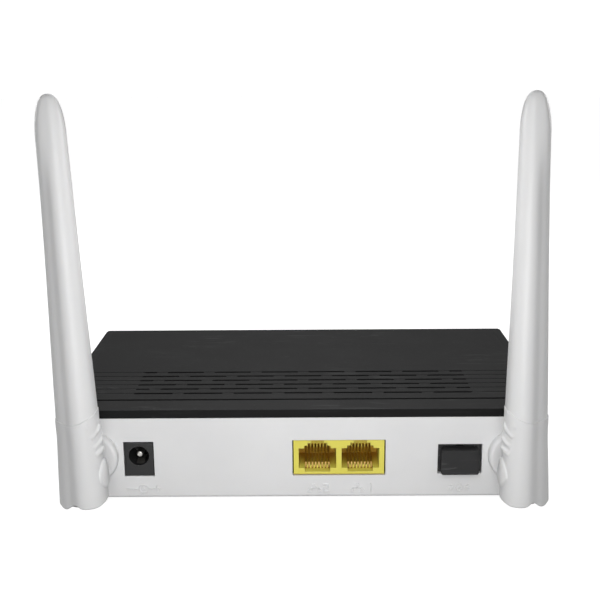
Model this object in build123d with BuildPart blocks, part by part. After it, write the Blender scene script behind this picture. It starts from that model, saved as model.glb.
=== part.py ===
from build123d import *
import os
from math import cos, radians, sin

# Optical network terminal: a flat desktop housing with its sockets on the rear wall, two fold-down
# antennas on swivel stubs, and the board, sockets, buttons and lights that it holds.
# Millimetres. +X is to the right seen from the sockets, +Y points to the front wall with the lights,
# +Z is up. The origin is under the middle of the whole object, on the surface it stands on.

# ---- housing ----
BODY_WIDTH = 155.0
REAR_WIDTH = 147.0
BODY_DEPTH = 92.0
TAPER_LENGTH = 40.0
CORNER_RADIUS = 2.5
BEND_RADIUS = 90.0
WALL = 2.0
FOOT_HEIGHT = 1.5
SHELL_HEIGHT = 26.2
COVER_HEIGHT = 2.6
COVER_STEP = 0.25
COVER_PLATE = 1.8
BEVEL_RUN = 3.7
BEVEL_DROP = 0.9
TONGUE_GAP = 0.15
TONGUE_THICKNESS = 1.4
TONGUE_DEPTH = 3.6
BOTTOM_ROUNDING = 1.0

# ---- antennas ----
ANTENNA_X = 64.6
ANTENNA_Z = 14.0
ANTENNA_LEAN = -1.2
HINGE_OUT = 12.5
FORM_FRONT = 9.0
FORM_BACK = 3.0
ANTENNA_REACH = HINGE_OUT + FORM_FRONT

# ---- levels and limits that follow from them ----
REAR_Y = ANTENNA_REACH - (BODY_DEPTH + ANTENNA_REACH) / 2
FRONT_Y = REAR_Y + BODY_DEPTH
BASE_Z = FOOT_HEIGHT
FLOOR_Z = BASE_Z + WALL
SHELL_TOP = BASE_Z + SHELL_HEIGHT
COVER_TOP = SHELL_TOP + COVER_HEIGHT
HINGE_Z = BASE_Z + ANTENNA_Z
HINGE_Y = REAR_Y - HINGE_OUT

# ---- board ----
BOARD_TOP = BASE_Z + 7.4
BOARD_THICKNESS = 1.6
BOARD_HALF_WIDTH = 62.0
BOARD_REAR = REAR_Y + 2.8
BOARD_FRONT = FRONT_Y - 4.0
BOARD_BOTTOM = BOARD_TOP - BOARD_THICKNESS
EAR_X = 72.0
EAR_Y = (12.0, 38.0)
BOARD_SCREWS = [(-57.0, 40.0), (50.0, 40.0), (-30.0, -24.0), (31.0, -24.0)]
CASE_SCREWS = [(-67.5, 4.0), (67.5, 4.0), (-67.5, 47.0), (67.5, 47.0)]

# ---- sockets: centre across, centre height above the housing's underside, width, height ----
POWER_X, POWER_Z, POWER_W, POWER_H = -50.5, 12.98, 9.0, 11.0
POWER_HOLE_R = 3.15
POWER_PIN_R, POWER_ROOT_R = 1.0, 0.8
POWER_HOLE_Z = BASE_Z + POWER_Z + 1.0
POWER_DEPTH = 14.0
POWER_HOLE_DEPTH = 10.0
POWER_PIN_LENGTH = 7.9
LAN_X, LAN_Z, LAN_W, LAN_H = 11.0, 13.08, 28.6, 11.7
LAN_PITCH = 13.2
LAN_DEPTH = 16.0
LAN_SETBACK = 0.3
PORT_W, PORT_H, PORT_DEPTH = 11.5, 6.5, 12.0
PORT_SILL = 2.2
CONTACT_PITCH = 1.02
FIBRE_X, FIBRE_TOP, FIBRE_W, FIBRE_H = 48.1, 17.4, 13.56, 9.7
FIBRE_Z = BASE_Z + FIBRE_TOP - FIBRE_H / 2
SC_W, SC_H, SC_DEPTH = 9.4, 7.6, 9.0
FERRULE_R = 1.25

# ---- lights, buttons, wall hooks ----
LIGHT_COUNT, LIGHT_PITCH, LIGHT_Z = 6, 9.0, 16.0
LIGHT_W, LIGHT_H = 3.2, 1.6
SWITCH_Z = BOARD_TOP + 3.4
WPS_Y, RESET_Y = 30.0, 19.0
BUTTON_R = 2.4
PINHOLE_R = 0.9
PLUNGER_R = 1.2
KEYHOLE_SPACING, KEYHOLE_R, KEYHOLE_SLOT_R, KEYHOLE_RUN, KEYHOLE_Y = 100.0, 4.0, 2.0, 8.0, 8.0

# ---- vents in the cover ----
VENT_ROWS, VENT_FIRST, VENT_PITCH, VENT_WIDTH = 6, 15.4, 4.21, 1.3
VENT_SPAN, VENT_LONG, VENT_GAP = 108.2, 12.6, 3.33
VENT_END = (VENT_SPAN - 6 * VENT_LONG - 7 * VENT_GAP) / 2
ROW_GROOVE_DEPTH = 0.12
LINE_GROOVE_Y, LINE_GROOVE_WIDTH, LINE_GROOVE_DEPTH = 9.45, 1.2, 0.8

MADE = []


def keep(part, name):
    """Labels a finished piece and writes it to its own file."""
    part.label = name
    MADE.append(part)
    export_step(part, f"parts/{name}.step")


def at_y(y):
    """Upright plane across the housing at y, facing the socket side."""
    return Plane.XZ.offset(-y)


def at_x(x):
    """Upright plane along the housing at x, facing +X, with local x along +Y."""
    return Plane.YZ.offset(x)


def plan_outline(inset=0.0):
    """Plan of the housing drawn in by inset: straight front half, slightly narrower rear wall."""
    half, rear, bend = BODY_WIDTH / 2, REAR_WIDTH / 2, REAR_Y + TAPER_LENGTH
    with BuildSketch(mode=Mode.PRIVATE) as outline:
        with BuildLine():
            Polyline(
                (-rear, REAR_Y), (rear, REAR_Y), (half, bend), (half, FRONT_Y),
                (-half, FRONT_Y), (-half, bend), close=True,
            )
        make_face()
        corners = outline.vertices().filter_by(lambda v: abs(v.Y - bend) >= 0.01)
        fillet(corners, CORNER_RADIUS)
        fillet(outline.vertices().filter_by(lambda v: abs(v.Y - bend) < 0.01), BEND_RADIUS)
        if inset:
            offset(amount=-inset, kind=Kind.INTERSECTION)
    return outline.sketch


# ======================= housing =======================

def glyph_power():
    """Ring with a dot in it, the generic sign for a barrel socket, with a plus and a minus beside it."""
    with BuildSketch(mode=Mode.PRIVATE) as glyph:
        Circle(1.5)
        Circle(1.15, mode=Mode.SUBTRACT)
        Circle(0.55)
        with Locations((-4.2, 0), (4.2, 0)):
            Rectangle(2.0, 0.4)
        with Locations((4.2, 0)):
            Rectangle(0.4, 2.0)
        with Locations((-2.35, 0), (2.35, 0)):
            Rectangle(1.3, 0.3)
    return glyph.sketch


def glyph_network():
    """Three linked squares, the generic sign for a wired network."""
    with BuildSketch(mode=Mode.PRIVATE) as glyph:
        with Locations((0, 0.95), (-1.5, -0.95), (1.5, -0.95)):
            Rectangle(1.1, 0.9)
        Rectangle(3.3, 0.25)
        with Locations((0, 0.3), (-1.5, -0.3), (1.5, -0.3)):
            Rectangle(0.25, 0.7)
    return glyph.sketch


def glyph_fibre():
    """Ring with a core and two short rays, a generic sign for a light guide."""
    with BuildSketch(mode=Mode.PRIVATE) as glyph:
        Circle(1.3)
        Circle(1.0, mode=Mode.SUBTRACT)
        Circle(0.4)
        with Locations((-2.6, 0), (2.6, 0)):
            Rectangle(1.6, 0.35)
        with Locations((-2.6, 0.8), (2.6, 0.8), (-2.6, -0.8), (2.6, -0.8)):
            Rectangle(1.0, 0.3)
    return glyph.sketch


def digit(strokes):
    """A port's number, built of straight strokes named as on a seven-stroke display."""
    places = {"a": (0, 1), "b": (0.5, 0.5), "c": (0.5, -0.5), "d": (0, -1), "e": (-0.5, -0.5), "g": (0, 0)}
    step, line = DIGIT_HEIGHT / 2, 0.35
    with BuildSketch(mode=Mode.PRIVATE) as number:
        for stroke in strokes:
            over, up = places[stroke]
            with Locations((over * step * 1.1, up * step)):
                if over:
                    Rectangle(line, step + line)
                else:
                    Rectangle(step * 1.1 + line, line)
    return number.sketch


MARK_Z = BASE_Z + 3.1
MARK_HEIGHT = 0.25
DIGIT_HEIGHT = 2.4

with BuildPart() as bottom_shell:
    with BuildSketch(Plane.XY.offset(BASE_Z)):
        add(plan_outline())
    extrude(amount=SHELL_HEIGHT)
    fillet(bottom_shell.faces().sort_by(Axis.Z)[0].edges(), BOTTOM_ROUNDING)
    with BuildSketch(Plane.XY.offset(FLOOR_Z)):
        add(plan_outline(WALL))
    extrude(amount=SHELL_HEIGHT, mode=Mode.SUBTRACT)
    # posts that carry the board, and the bosses that the case screws come up through
    with BuildSketch(Plane.XY.offset(FLOOR_Z)):
        with Locations(BOARD_SCREWS):
            Circle(3.0)
    extrude(amount=BOARD_BOTTOM - FLOOR_Z)
    with BuildSketch(Plane.XY.offset(FLOOR_Z)):
        with Locations(CASE_SCREWS):
            Circle(3.5)
    extrude(amount=12.0)
    # stiffening ribs on the floor, under the board
    with BuildSketch(Plane.XY.offset(FLOOR_Z)):
        with Locations((0, -16.0), (0, 30.0)):
            Rectangle(90.0, 1.2)
        with Locations((-20.0, 7.0), (20.0, 7.0)):
            Rectangle(1.2, 46.0)
    extrude(amount=1.8)
    with BuildSketch(Plane.XY.offset(FLOOR_Z - 0.5)):
        with Locations(BOARD_SCREWS):
            Circle(1.1)
    extrude(amount=BOARD_BOTTOM - FLOOR_Z + 0.5, mode=Mode.SUBTRACT)
    with BuildSketch(Plane.XY.offset(BASE_Z)):
        with Locations(CASE_SCREWS):
            Circle(1.6)
    extrude(amount=14.0, mode=Mode.SUBTRACT)
    with BuildSketch(Plane.XY.offset(BASE_Z)):
        with Locations(CASE_SCREWS):
            Circle(3.0)
    extrude(amount=4.0, mode=Mode.SUBTRACT)
    # openings in the rear wall
    with BuildSketch(at_y(REAR_Y)):
        with Locations((POWER_X, BASE_Z + POWER_Z)):
            Rectangle(POWER_W + 0.3, POWER_H + 0.3)
        with Locations((LAN_X, BASE_Z + LAN_Z)):
            Rectangle(LAN_W, LAN_H)
        with Locations((FIBRE_X, FIBRE_Z)):
            Rectangle(FIBRE_W, FIBRE_H)
        with Locations((-ANTENNA_X, HINGE_Z), (ANTENNA_X, HINGE_Z)):
            Circle(5.05)
    extrude(amount=-WALL, mode=Mode.SUBTRACT)
    # windows for the lights in the front wall
    with BuildSketch(at_y(FRONT_Y)):
        with Locations((0, LIGHT_Z)):
            with GridLocations(LIGHT_PITCH, 1.0, LIGHT_COUNT, 1):
                RectangleRounded(LIGHT_W, LIGHT_H, 0.3)
    extrude(amount=WALL, mode=Mode.SUBTRACT)
    # button hole and reset pinhole in the right side wall
    with BuildSketch(at_x(BODY_WIDTH / 2 - WALL)):
        with Locations((WPS_Y, SWITCH_Z)):
            Circle(BUTTON_R + 0.1)
        with Locations((RESET_Y, SWITCH_Z)):
            Circle(PINHOLE_R)
    extrude(amount=WALL, mode=Mode.SUBTRACT)
    # upright vent slots in both side walls
    with BuildSketch(at_x(-BODY_WIDTH / 2)):
        with Locations((30.0, 15.0)):
            with GridLocations(4.0, 1.0, 9, 1):
                SlotOverall(9.0, 1.4, rotation=90)
    extrude(amount=WALL, mode=Mode.SUBTRACT)
    # vent slots in the floor, clear of the ribs
    with BuildSketch(Plane.XY.offset(BASE_Z)):
        with Locations((0, 19.0), (0, -4.5)):
            with GridLocations(4.5, 1.0, 7, 1):
                SlotOverall(14.0, 1.6, rotation=90)
    extrude(amount=WALL, mode=Mode.SUBTRACT)
    # two keyholes to hang the housing on wall screws
    with BuildSketch(Plane.XY.offset(BASE_Z)):
        with Locations((-KEYHOLE_SPACING / 2, KEYHOLE_Y), (KEYHOLE_SPACING / 2, KEYHOLE_Y)):
            Circle(KEYHOLE_R)
        with Locations(
            (-KEYHOLE_SPACING / 2, KEYHOLE_Y + KEYHOLE_RUN / 2),
            (KEYHOLE_SPACING / 2, KEYHOLE_Y + KEYHOLE_RUN / 2),
        ):
            SlotCenterToCenter(KEYHOLE_RUN, 2 * KEYHOLE_SLOT_R, rotation=90)
    extrude(amount=WALL, mode=Mode.SUBTRACT)
    # shallow recess for the rating label, and seats for the feet
    with BuildSketch(Plane.XY.offset(BASE_Z)):
        with Locations((0, 42.0)):
            Rectangle(60.4, 16.4)
        with GridLocations(116.0, 70.0, 2, 2):
            with Locations((0, 10.75)):
                Circle(5.1)
    extrude(amount=0.3, mode=Mode.SUBTRACT)
    # raised generic marks under the sockets
    with BuildSketch(at_y(REAR_Y)):
        with Locations((POWER_X + 1.0, MARK_Z)):
            add(glyph_power())
        with Locations((LAN_X - LAN_PITCH / 2 - 1.0, MARK_Z), (LAN_X + LAN_PITCH / 2 - 1.0, MARK_Z)):
            add(glyph_network())
        with Locations((LAN_X - LAN_PITCH / 2 + 2.6, MARK_Z)):
            add(digit("abged"))
        with Locations((LAN_X + LAN_PITCH / 2 + 2.6, MARK_Z)):
            add(digit("bc"))
        with Locations((FIBRE_X, MARK_Z)):
            add(glyph_fibre())
    extrude(amount=MARK_HEIGHT)
keep(bottom_shell.part, "bottom_shell")


def bevel_plane(start, end):
    """Plane of the cover's bevel along one straight edge of the plan, given in anticlockwise order."""
    run = Vector(end[0] - start[0], end[1] - start[1], 0).normalized()
    outward = Vector(run.Y, -run.X, 0)
    normal = outward * BEVEL_DROP + Vector(0, 0, 1) * BEVEL_RUN
    foot = Vector(start[0], start[1], COVER_TOP - BEVEL_DROP) - outward * COVER_STEP
    return Plane(origin=foot, z_dir=normal)


def vent_centres(row):
    """X position and length of every vent in a row: seven long ones, or six between two short ones."""
    pitch = VENT_LONG + VENT_GAP
    if row % 2 == 0:
        return [((i - 3) * pitch, VENT_LONG) for i in range(7)]
    longs = [((i - 2.5) * pitch, VENT_LONG) for i in range(6)]
    end = VENT_SPAN / 2 - VENT_END / 2
    return [(-end, VENT_END), *longs, (end, VENT_END)]


with BuildPart() as top_cover:
    with BuildSketch(Plane.XY.offset(SHELL_TOP)):
        add(plan_outline(COVER_STEP))
    extrude(amount=COVER_HEIGHT)
    half, rear, bend = BODY_WIDTH / 2, REAR_WIDTH / 2, REAR_Y + TAPER_LENGTH
    edge_points = [
        (rear, REAR_Y), (half, bend), (half, FRONT_Y), (-half, FRONT_Y), (-half, bend), (-rear, REAR_Y),
    ]
    for edge_start, edge_end in zip(edge_points, edge_points[1:]):
        split(bisect_by=bevel_plane(edge_start, edge_end), keep=Keep.BOTTOM)
    with BuildSketch(Plane.XY.offset(SHELL_TOP)):
        add(plan_outline(WALL + TONGUE_GAP + TONGUE_THICKNESS))
    extrude(amount=COVER_HEIGHT - COVER_PLATE, mode=Mode.SUBTRACT)
    # tongue that locates the cover inside the shell's walls
    with BuildSketch(Plane.XY.offset(SHELL_TOP - TONGUE_DEPTH)):
        add(plan_outline(WALL + TONGUE_GAP))
        add(plan_outline(WALL + TONGUE_GAP + TONGUE_THICKNESS), mode=Mode.SUBTRACT)
    extrude(amount=TONGUE_DEPTH)
    # posts that the case screws bite into
    with BuildSketch(Plane.XY.offset(FLOOR_Z + 12.2)):
        with Locations(CASE_SCREWS):
            Circle(3.2)
    extrude(amount=COVER_TOP - 1.0 - FLOOR_Z - 12.2)
    with BuildSketch(Plane.XY.offset(FLOOR_Z + 12.2)):
        with Locations(CASE_SCREWS):
            Circle(1.25)
    extrude(amount=9.0, mode=Mode.SUBTRACT)
    # one deep line across the cover, then the rows of vents, each row in its own fine groove
    with BuildSketch(Plane.XY.offset(COVER_TOP)):
        with Locations((0, REAR_Y + LINE_GROOVE_Y)):
            Rectangle(BODY_WIDTH + 2, LINE_GROOVE_WIDTH)
    extrude(amount=-LINE_GROOVE_DEPTH, mode=Mode.SUBTRACT)
    with BuildSketch(Plane.XY.offset(COVER_TOP)):
        for row in range(VENT_ROWS):
            with Locations((0, REAR_Y + VENT_FIRST + row * VENT_PITCH)):
                Rectangle(BODY_WIDTH + 2, VENT_WIDTH * 0.8)
    extrude(amount=-ROW_GROOVE_DEPTH, mode=Mode.SUBTRACT)
    with BuildSketch(Plane.XY.offset(COVER_TOP)):
        for row in range(VENT_ROWS):
            for centre, length in vent_centres(row):
                with Locations((centre, REAR_Y + VENT_FIRST + row * VENT_PITCH)):
                    SlotOverall(length, VENT_WIDTH)
    extrude(amount=-COVER_HEIGHT, mode=Mode.SUBTRACT)
keep(top_cover.part, "top_cover")

with BuildPart() as rubber_feet:
    with BuildSketch(Plane.XY):
        with GridLocations(116.0, 70.0, 2, 2):
            with Locations((0, 10.75)):
                Circle(5.0)
    extrude(amount=BASE_Z + 0.3)
    fillet(rubber_feet.edges().group_by(Axis.Z)[0], 0.5)
keep(rubber_feet.part, "rubber_feet")

with BuildPart() as rating_label:
    with BuildSketch(Plane.XY.offset(BASE_Z + 0.1)):
        with Locations((0, 42.0)):
            RectangleRounded(60.0, 16.0, 1.0)
    extrude(amount=0.2)
keep(rating_label.part, "rating_label")


def screws(places, head_z, head_r, head_h, shank_r, shank_length, up):
    """Pan-head screws with a cross recess, standing with their shanks up or down from the head's seat."""
    way = 1 if up else -1
    with BuildPart() as group:
        with BuildSketch(Plane.XY.offset(head_z)):
            with Locations(places):
                Circle(head_r)
        extrude(amount=-way * head_h)
        with BuildSketch(Plane.XY.offset(head_z)):
            with Locations(places):
                Circle(shank_r)
        extrude(amount=way * shank_length)
        with BuildSketch(Plane.XY.offset(head_z - way * head_h)):
            with Locations(places):
                Rectangle(head_r * 1.1, head_r * 0.25)
                Rectangle(head_r * 0.25, head_r * 1.1)
        extrude(amount=way * head_h * 0.5, mode=Mode.SUBTRACT)
    return group.part


keep(screws(CASE_SCREWS, BASE_Z + 4.0, 2.5, 1.6, 1.24, 18.0, True), "case_screws")
keep(screws(BOARD_SCREWS, BOARD_TOP, 2.3, 1.4, 1.09, 5.0, False), "board_screws")

# ======================= board and what stands on it =======================

with BuildPart() as main_board:
    with BuildSketch(Plane.XY.offset(BOARD_BOTTOM)):
        with Locations((0, (BOARD_REAR + BOARD_FRONT) / 2)):
            Rectangle(2 * BOARD_HALF_WIDTH, BOARD_FRONT - BOARD_REAR)
        with Locations(((BOARD_HALF_WIDTH + EAR_X) / 2, sum(EAR_Y) / 2)):
            Rectangle(EAR_X - BOARD_HALF_WIDTH, EAR_Y[1] - EAR_Y[0])
        with Locations((-BOARD_HALF_WIDTH, BOARD_REAR), (BOARD_HALF_WIDTH, BOARD_REAR)):
            Rectangle(14.0, 20.0, mode=Mode.SUBTRACT)
        with Locations(BOARD_SCREWS):
            Circle(1.4, mode=Mode.SUBTRACT)
    extrude(amount=BOARD_THICKNESS)
keep(main_board.part, "main_board")

LAN_FACE_Y = REAR_Y + LAN_SETBACK
LAN_TOP = BASE_Z + LAN_Z + LAN_H / 2 - 0.15
PORT_FLOOR = BOARD_TOP + PORT_SILL
PORT_X = (LAN_X - LAN_PITCH / 2, LAN_X + LAN_PITCH / 2)
NOTCH_STEPS = [(8.1, 0.9), (6.1, 1.8), (3.9, LAN_TOP - PORT_FLOOR - PORT_H + 1.0)]
COMB_Z = PORT_FLOOR + 1.8

with BuildPart() as lan_jack:
    with BuildSketch(at_y(LAN_FACE_Y)):
        with Locations((LAN_X, (BOARD_TOP + LAN_TOP) / 2)):
            Rectangle(LAN_W - 0.7, LAN_TOP - BOARD_TOP)
    extrude(amount=-LAN_DEPTH)
    chamfer(lan_jack.faces().sort_by(Axis.Y)[0].edges().sort_by(Axis.Z)[0], 0.35)
    with BuildSketch(at_y(LAN_FACE_Y)):
        for port in PORT_X:
            with Locations((port, PORT_FLOOR + PORT_H / 2)):
                Rectangle(PORT_W, PORT_H)
    extrude(amount=-PORT_DEPTH, mode=Mode.SUBTRACT)
    # stepped latch notch over each port, and the lower recess in front of the contacts
    with BuildSketch(at_y(LAN_FACE_Y)):
        for port in PORT_X:
            for width, height in NOTCH_STEPS:
                with Locations((port, PORT_FLOOR + PORT_H - 0.5 + height / 2)):
                    Rectangle(width, height + 1.0)
    extrude(amount=-PORT_DEPTH + 3.0, mode=Mode.SUBTRACT)
    with BuildSketch(at_y(LAN_FACE_Y)):
        for port in PORT_X:
            with Locations((port, PORT_FLOOR - 0.5)):
                Rectangle(7.8, 1.4)
    extrude(amount=-2.6, mode=Mode.SUBTRACT)
    # comb in the back wall and slits in the floor that guide the contacts
    with BuildSketch(at_y(LAN_FACE_Y + PORT_DEPTH)):
        for port in PORT_X:
            with Locations((port, COMB_Z)):
                with GridLocations(CONTACT_PITCH, 1.0, 8, 1):
                    Rectangle(0.6, 2.8)
    extrude(amount=-1.6, mode=Mode.SUBTRACT)
    with BuildSketch(Plane.XY.offset(PORT_FLOOR)):
        for port in PORT_X:
            with Locations((port, LAN_FACE_Y + 3.3)):
                with GridLocations(CONTACT_PITCH, 1.0, 8, 1):
                    Rectangle(0.6, 1.4)
    extrude(amount=-1.2, mode=Mode.SUBTRACT)
keep(lan_jack.part, "lan_jack")

CONTACT_THICKNESS = 0.3
CONTACT_WIDTH = 0.45
with BuildPart() as lan_contacts:
    for port in PORT_X:
        for index in range(8):
            wire_x = port + (index - 3.5) * CONTACT_PITCH
            with BuildSketch(at_x(wire_x - CONTACT_WIDTH / 2)):
                with BuildLine():
                    Polyline(
                        (LAN_FACE_Y + 3.0, PORT_FLOOR - 1.0),
                        (LAN_FACE_Y + 3.0 + CONTACT_THICKNESS, PORT_FLOOR - 1.0),
                        (LAN_FACE_Y + 3.5, PORT_FLOOR + 0.4),
                        (LAN_FACE_Y + 13.0, PORT_FLOOR + 2.0),
                        (LAN_FACE_Y + 13.0, PORT_FLOOR + 2.0 + CONTACT_THICKNESS),
                        (LAN_FACE_Y + 3.1, PORT_FLOOR + 0.4 + CONTACT_THICKNESS),
                        close=True,
                    )
                make_face()
            extrude(amount=CONTACT_WIDTH)
keep(lan_contacts.part, "lan_contacts")

with BuildPart() as dc_jack:
    with BuildSketch(at_y(REAR_Y + 0.1)):
        with Locations((POWER_X, (BOARD_TOP + BASE_Z + POWER_Z + POWER_H / 2) / 2)):
            Rectangle(POWER_W, BASE_Z + POWER_Z + POWER_H / 2 - BOARD_TOP)
    extrude(amount=-POWER_DEPTH)
    fillet(dc_jack.faces().sort_by(Axis.Y)[0].edges(), 0.3)
    with BuildSketch(at_y(REAR_Y)):
        with Locations((POWER_X, POWER_HOLE_Z)):
            Circle(POWER_HOLE_R)
    extrude(amount=-POWER_HOLE_DEPTH, mode=Mode.SUBTRACT)
    with BuildSketch(at_y(REAR_Y)):
        with Locations((POWER_X, POWER_HOLE_Z)):
            Circle(POWER_ROOT_R)
    extrude(amount=-POWER_HOLE_DEPTH - 2.5, mode=Mode.SUBTRACT)
    # slot under the hole for the spring contact
    with BuildSketch(at_y(REAR_Y + 1.6)):
        with Locations((POWER_X, POWER_HOLE_Z - POWER_HOLE_R - 0.2)):
            Rectangle(2.6, 2.0)
    extrude(amount=-10.0, mode=Mode.SUBTRACT)
keep(dc_jack.part, "dc_jack")

with BuildPart() as dc_pin:
    with BuildSketch(at_y(REAR_Y + 1.5)):
        with Locations((POWER_X, POWER_HOLE_Z)):
            Circle(POWER_PIN_R)
    extrude(amount=-POWER_PIN_LENGTH)
    fillet(dc_pin.faces().sort_by(Axis.Y)[0].edges(), 0.5)
    # thinner root that is fixed in the jack's back wall
    with BuildSketch(at_y(REAR_Y + 1.5 + POWER_PIN_LENGTH)):
        with Locations((POWER_X, POWER_HOLE_Z)):
            Circle(POWER_ROOT_R)
    extrude(amount=-POWER_HOLE_DEPTH - 1.0 + POWER_PIN_LENGTH)
keep(dc_pin.part, "dc_pin")

SPRING_Z = POWER_HOLE_Z - POWER_HOLE_R
with BuildPart() as dc_spring:
    with BuildSketch(at_x(POWER_X - 1.2)):
        with BuildLine():
            Polyline(
                (REAR_Y + 2.0, SPRING_Z - 0.7), (REAR_Y + 4.6, SPRING_Z + 0.5),
                (REAR_Y + 6.0, SPRING_Z + 0.5), (REAR_Y + 11.4, SPRING_Z - 0.9),
                (REAR_Y + 11.4, SPRING_Z - 1.2), (REAR_Y + 6.0, SPRING_Z + 0.2),
                (REAR_Y + 4.6, SPRING_Z + 0.2), (REAR_Y + 2.0, SPRING_Z - 1.0), close=True,
            )
        make_face()
    extrude(amount=2.4)
keep(dc_spring.part, "dc_spring")

FIBRE_FACE = REAR_Y + 1.2
with BuildPart() as fibre_receptacle:
    with BuildSketch(at_y(FIBRE_FACE)):
        with Locations((FIBRE_X, FIBRE_Z)):
            Rectangle(FIBRE_W - 0.4, FIBRE_H - 0.4)
    extrude(amount=-20.0)
    with BuildSketch(at_y(FIBRE_FACE)):
        with Locations((FIBRE_X, FIBRE_Z)):
            Rectangle(SC_W, SC_H)
        with Locations((FIBRE_X, FIBRE_Z + SC_H / 2)):
            Rectangle(2.6, 1.0)
    extrude(amount=-SC_DEPTH - 3.0, mode=Mode.SUBTRACT)
    with BuildSketch(at_y(FIBRE_FACE)):
        with Locations((FIBRE_X, FIBRE_Z)):
            Circle(FERRULE_R)
    extrude(amount=-20.0, mode=Mode.SUBTRACT)
    # side latches that grip the plug
    with BuildSketch(at_y(FIBRE_FACE + 5.0)):
        with Locations((FIBRE_X - SC_W / 2 + 0.15, FIBRE_Z), (FIBRE_X + SC_W / 2 - 0.15, FIBRE_Z)):
            Rectangle(0.3, 3.0)
    extrude(amount=-2.0)
keep(fibre_receptacle.part, "fibre_receptacle")

with BuildPart() as fibre_ferrule:
    with BuildSketch(at_y(FIBRE_FACE + 7.0)):
        with Locations((FIBRE_X, FIBRE_Z)):
            Circle(FERRULE_R)
    extrude(amount=-13.0)
    chamfer(fibre_ferrule.faces().sort_by(Axis.Y)[0].edges(), 0.25)
keep(fibre_ferrule.part, "fibre_ferrule")

with BuildPart() as optical_module:
    with BuildSketch(at_y(FIBRE_FACE + 20.0)):
        with Locations((FIBRE_X, FIBRE_Z)):
            Rectangle(8.0, 7.0)
    extrude(amount=-9.0)
    with BuildSketch(at_y(FIBRE_FACE + 29.0)):
        with Locations((FIBRE_X, FIBRE_Z)):
            Circle(2.8)
    extrude(amount=-6.0)
    with BuildSketch(at_x(FIBRE_X - 4.0)):
        with Locations((FIBRE_FACE + 24.5, FIBRE_Z)):
            Circle(2.4)
    extrude(amount=-3.5)
    with BuildSketch(at_y(FIBRE_FACE + 35.0)):
        with Locations((FIBRE_X, FIBRE_Z)):
            with PolarLocations(1.5, 4):
                Circle(0.25)
    extrude(amount=-4.0)
keep(optical_module.part, "optical_module")

CAP_X, CAP_W, CAP_TOP, CAP_H, CAP_OUT = FIBRE_X - 0.1, 11.5, BASE_Z + 16.1, 8.1, 2.1
with BuildPart() as dust_cap:
    with BuildSketch(at_y(FIBRE_FACE - 0.15)):
        with Locations((CAP_X, CAP_TOP - CAP_H / 2)):
            RectangleRounded(CAP_W, CAP_H, 0.6)
    extrude(amount=CAP_OUT + 1.05)
    fillet(dust_cap.faces().sort_by(Axis.Y)[0].edges(), 0.4)
    with BuildSketch(at_y(FIBRE_FACE - 0.15)):
        with Locations((FIBRE_X, FIBRE_Z)):
            Rectangle(SC_W - 0.4, SC_H - 0.4)
            Rectangle(SC_W - 2.2, SC_H - 2.2, mode=Mode.SUBTRACT)
    extrude(amount=-4.9)
keep(dust_cap.part, "dust_cap")


def chips(sizes, lift=0.0):
    """Flat square parts on the board: each is (x, y, length in x, length in y, height)."""
    with BuildPart() as group:
        for x, y, long_x, long_y, tall in sizes:
            with BuildSketch(Plane.XY.offset(BOARD_TOP + lift)):
                with Locations((x, y)):
                    RectangleRounded(long_x, long_y, 0.3)
            extrude(amount=tall)
    return group.part


MAIN_CHIP_X, MAIN_CHIP_Y, MAIN_CHIP_HEIGHT = 12.0, 14.0, 1.4
keep(chips([(MAIN_CHIP_X, MAIN_CHIP_Y, 17.0, 17.0, MAIN_CHIP_HEIGHT)]), "main_chip")
keep(chips([(34.0, 14.0, 9.0, 13.0, 1.1), (34.0, 0.0, 8.0, 6.0, 1.6)]), "memory_chips")
keep(chips([(11.0, -8.0, 15.0, 9.0, 5.5)]), "lan_transformer")
INDUCTORS = [(-44.0, 2.0, 7.0, 7.0, 3.2), (-32.0, 2.0, 7.0, 7.0, 3.2), (24.0, 30.0, 5.0, 5.0, 2.2)]
keep(chips(INDUCTORS), "inductors")
keep(chips([(-4.0, 2.0, 3.2, 2.5, 0.9), (-28.0, 31.5, 3.2, 2.5, 0.9)]), "crystals")

with BuildPart() as heat_sink:
    with BuildSketch(Plane.XY.offset(BOARD_TOP + MAIN_CHIP_HEIGHT)):
        with Locations((MAIN_CHIP_X, MAIN_CHIP_Y)):
            Rectangle(22.0, 22.0)
    extrude(amount=1.6)
    with BuildSketch(Plane.XY.offset(BOARD_TOP + MAIN_CHIP_HEIGHT + 1.6)):
        with Locations((MAIN_CHIP_X, MAIN_CHIP_Y)):
            with GridLocations(3.0, 1.0, 8, 1):
                Rectangle(1.0, 22.0)
    extrude(amount=7.0)
keep(heat_sink.part, "heat_sink")

with BuildPart() as rf_shield:
    with BuildSketch(Plane.XY.offset(BOARD_TOP)):
        with Locations((-30.0, 24.0)):
            RectangleRounded(30.0, 24.0, 0.6)
    extrude(amount=3.0)
    with BuildSketch(Plane.XY.offset(BOARD_TOP)):
        with Locations((-30.0, 24.0)):
            Rectangle(29.4, 23.4)
    extrude(amount=2.7, mode=Mode.SUBTRACT)
    with BuildSketch(Plane.XY.offset(BOARD_TOP + 3.0)):
        with Locations((-30.0, 24.0)):
            with GridLocations(5.0, 5.0, 5, 4):
                Circle(0.9)
    extrude(amount=-1.0, mode=Mode.SUBTRACT)
keep(rf_shield.part, "rf_shield")
keep(chips([(-35.0, 24.0, 9.0, 9.0, 1.0), (-22.0, 27.0, 6.0, 6.0, 1.0)]), "radio_chips")

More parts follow.
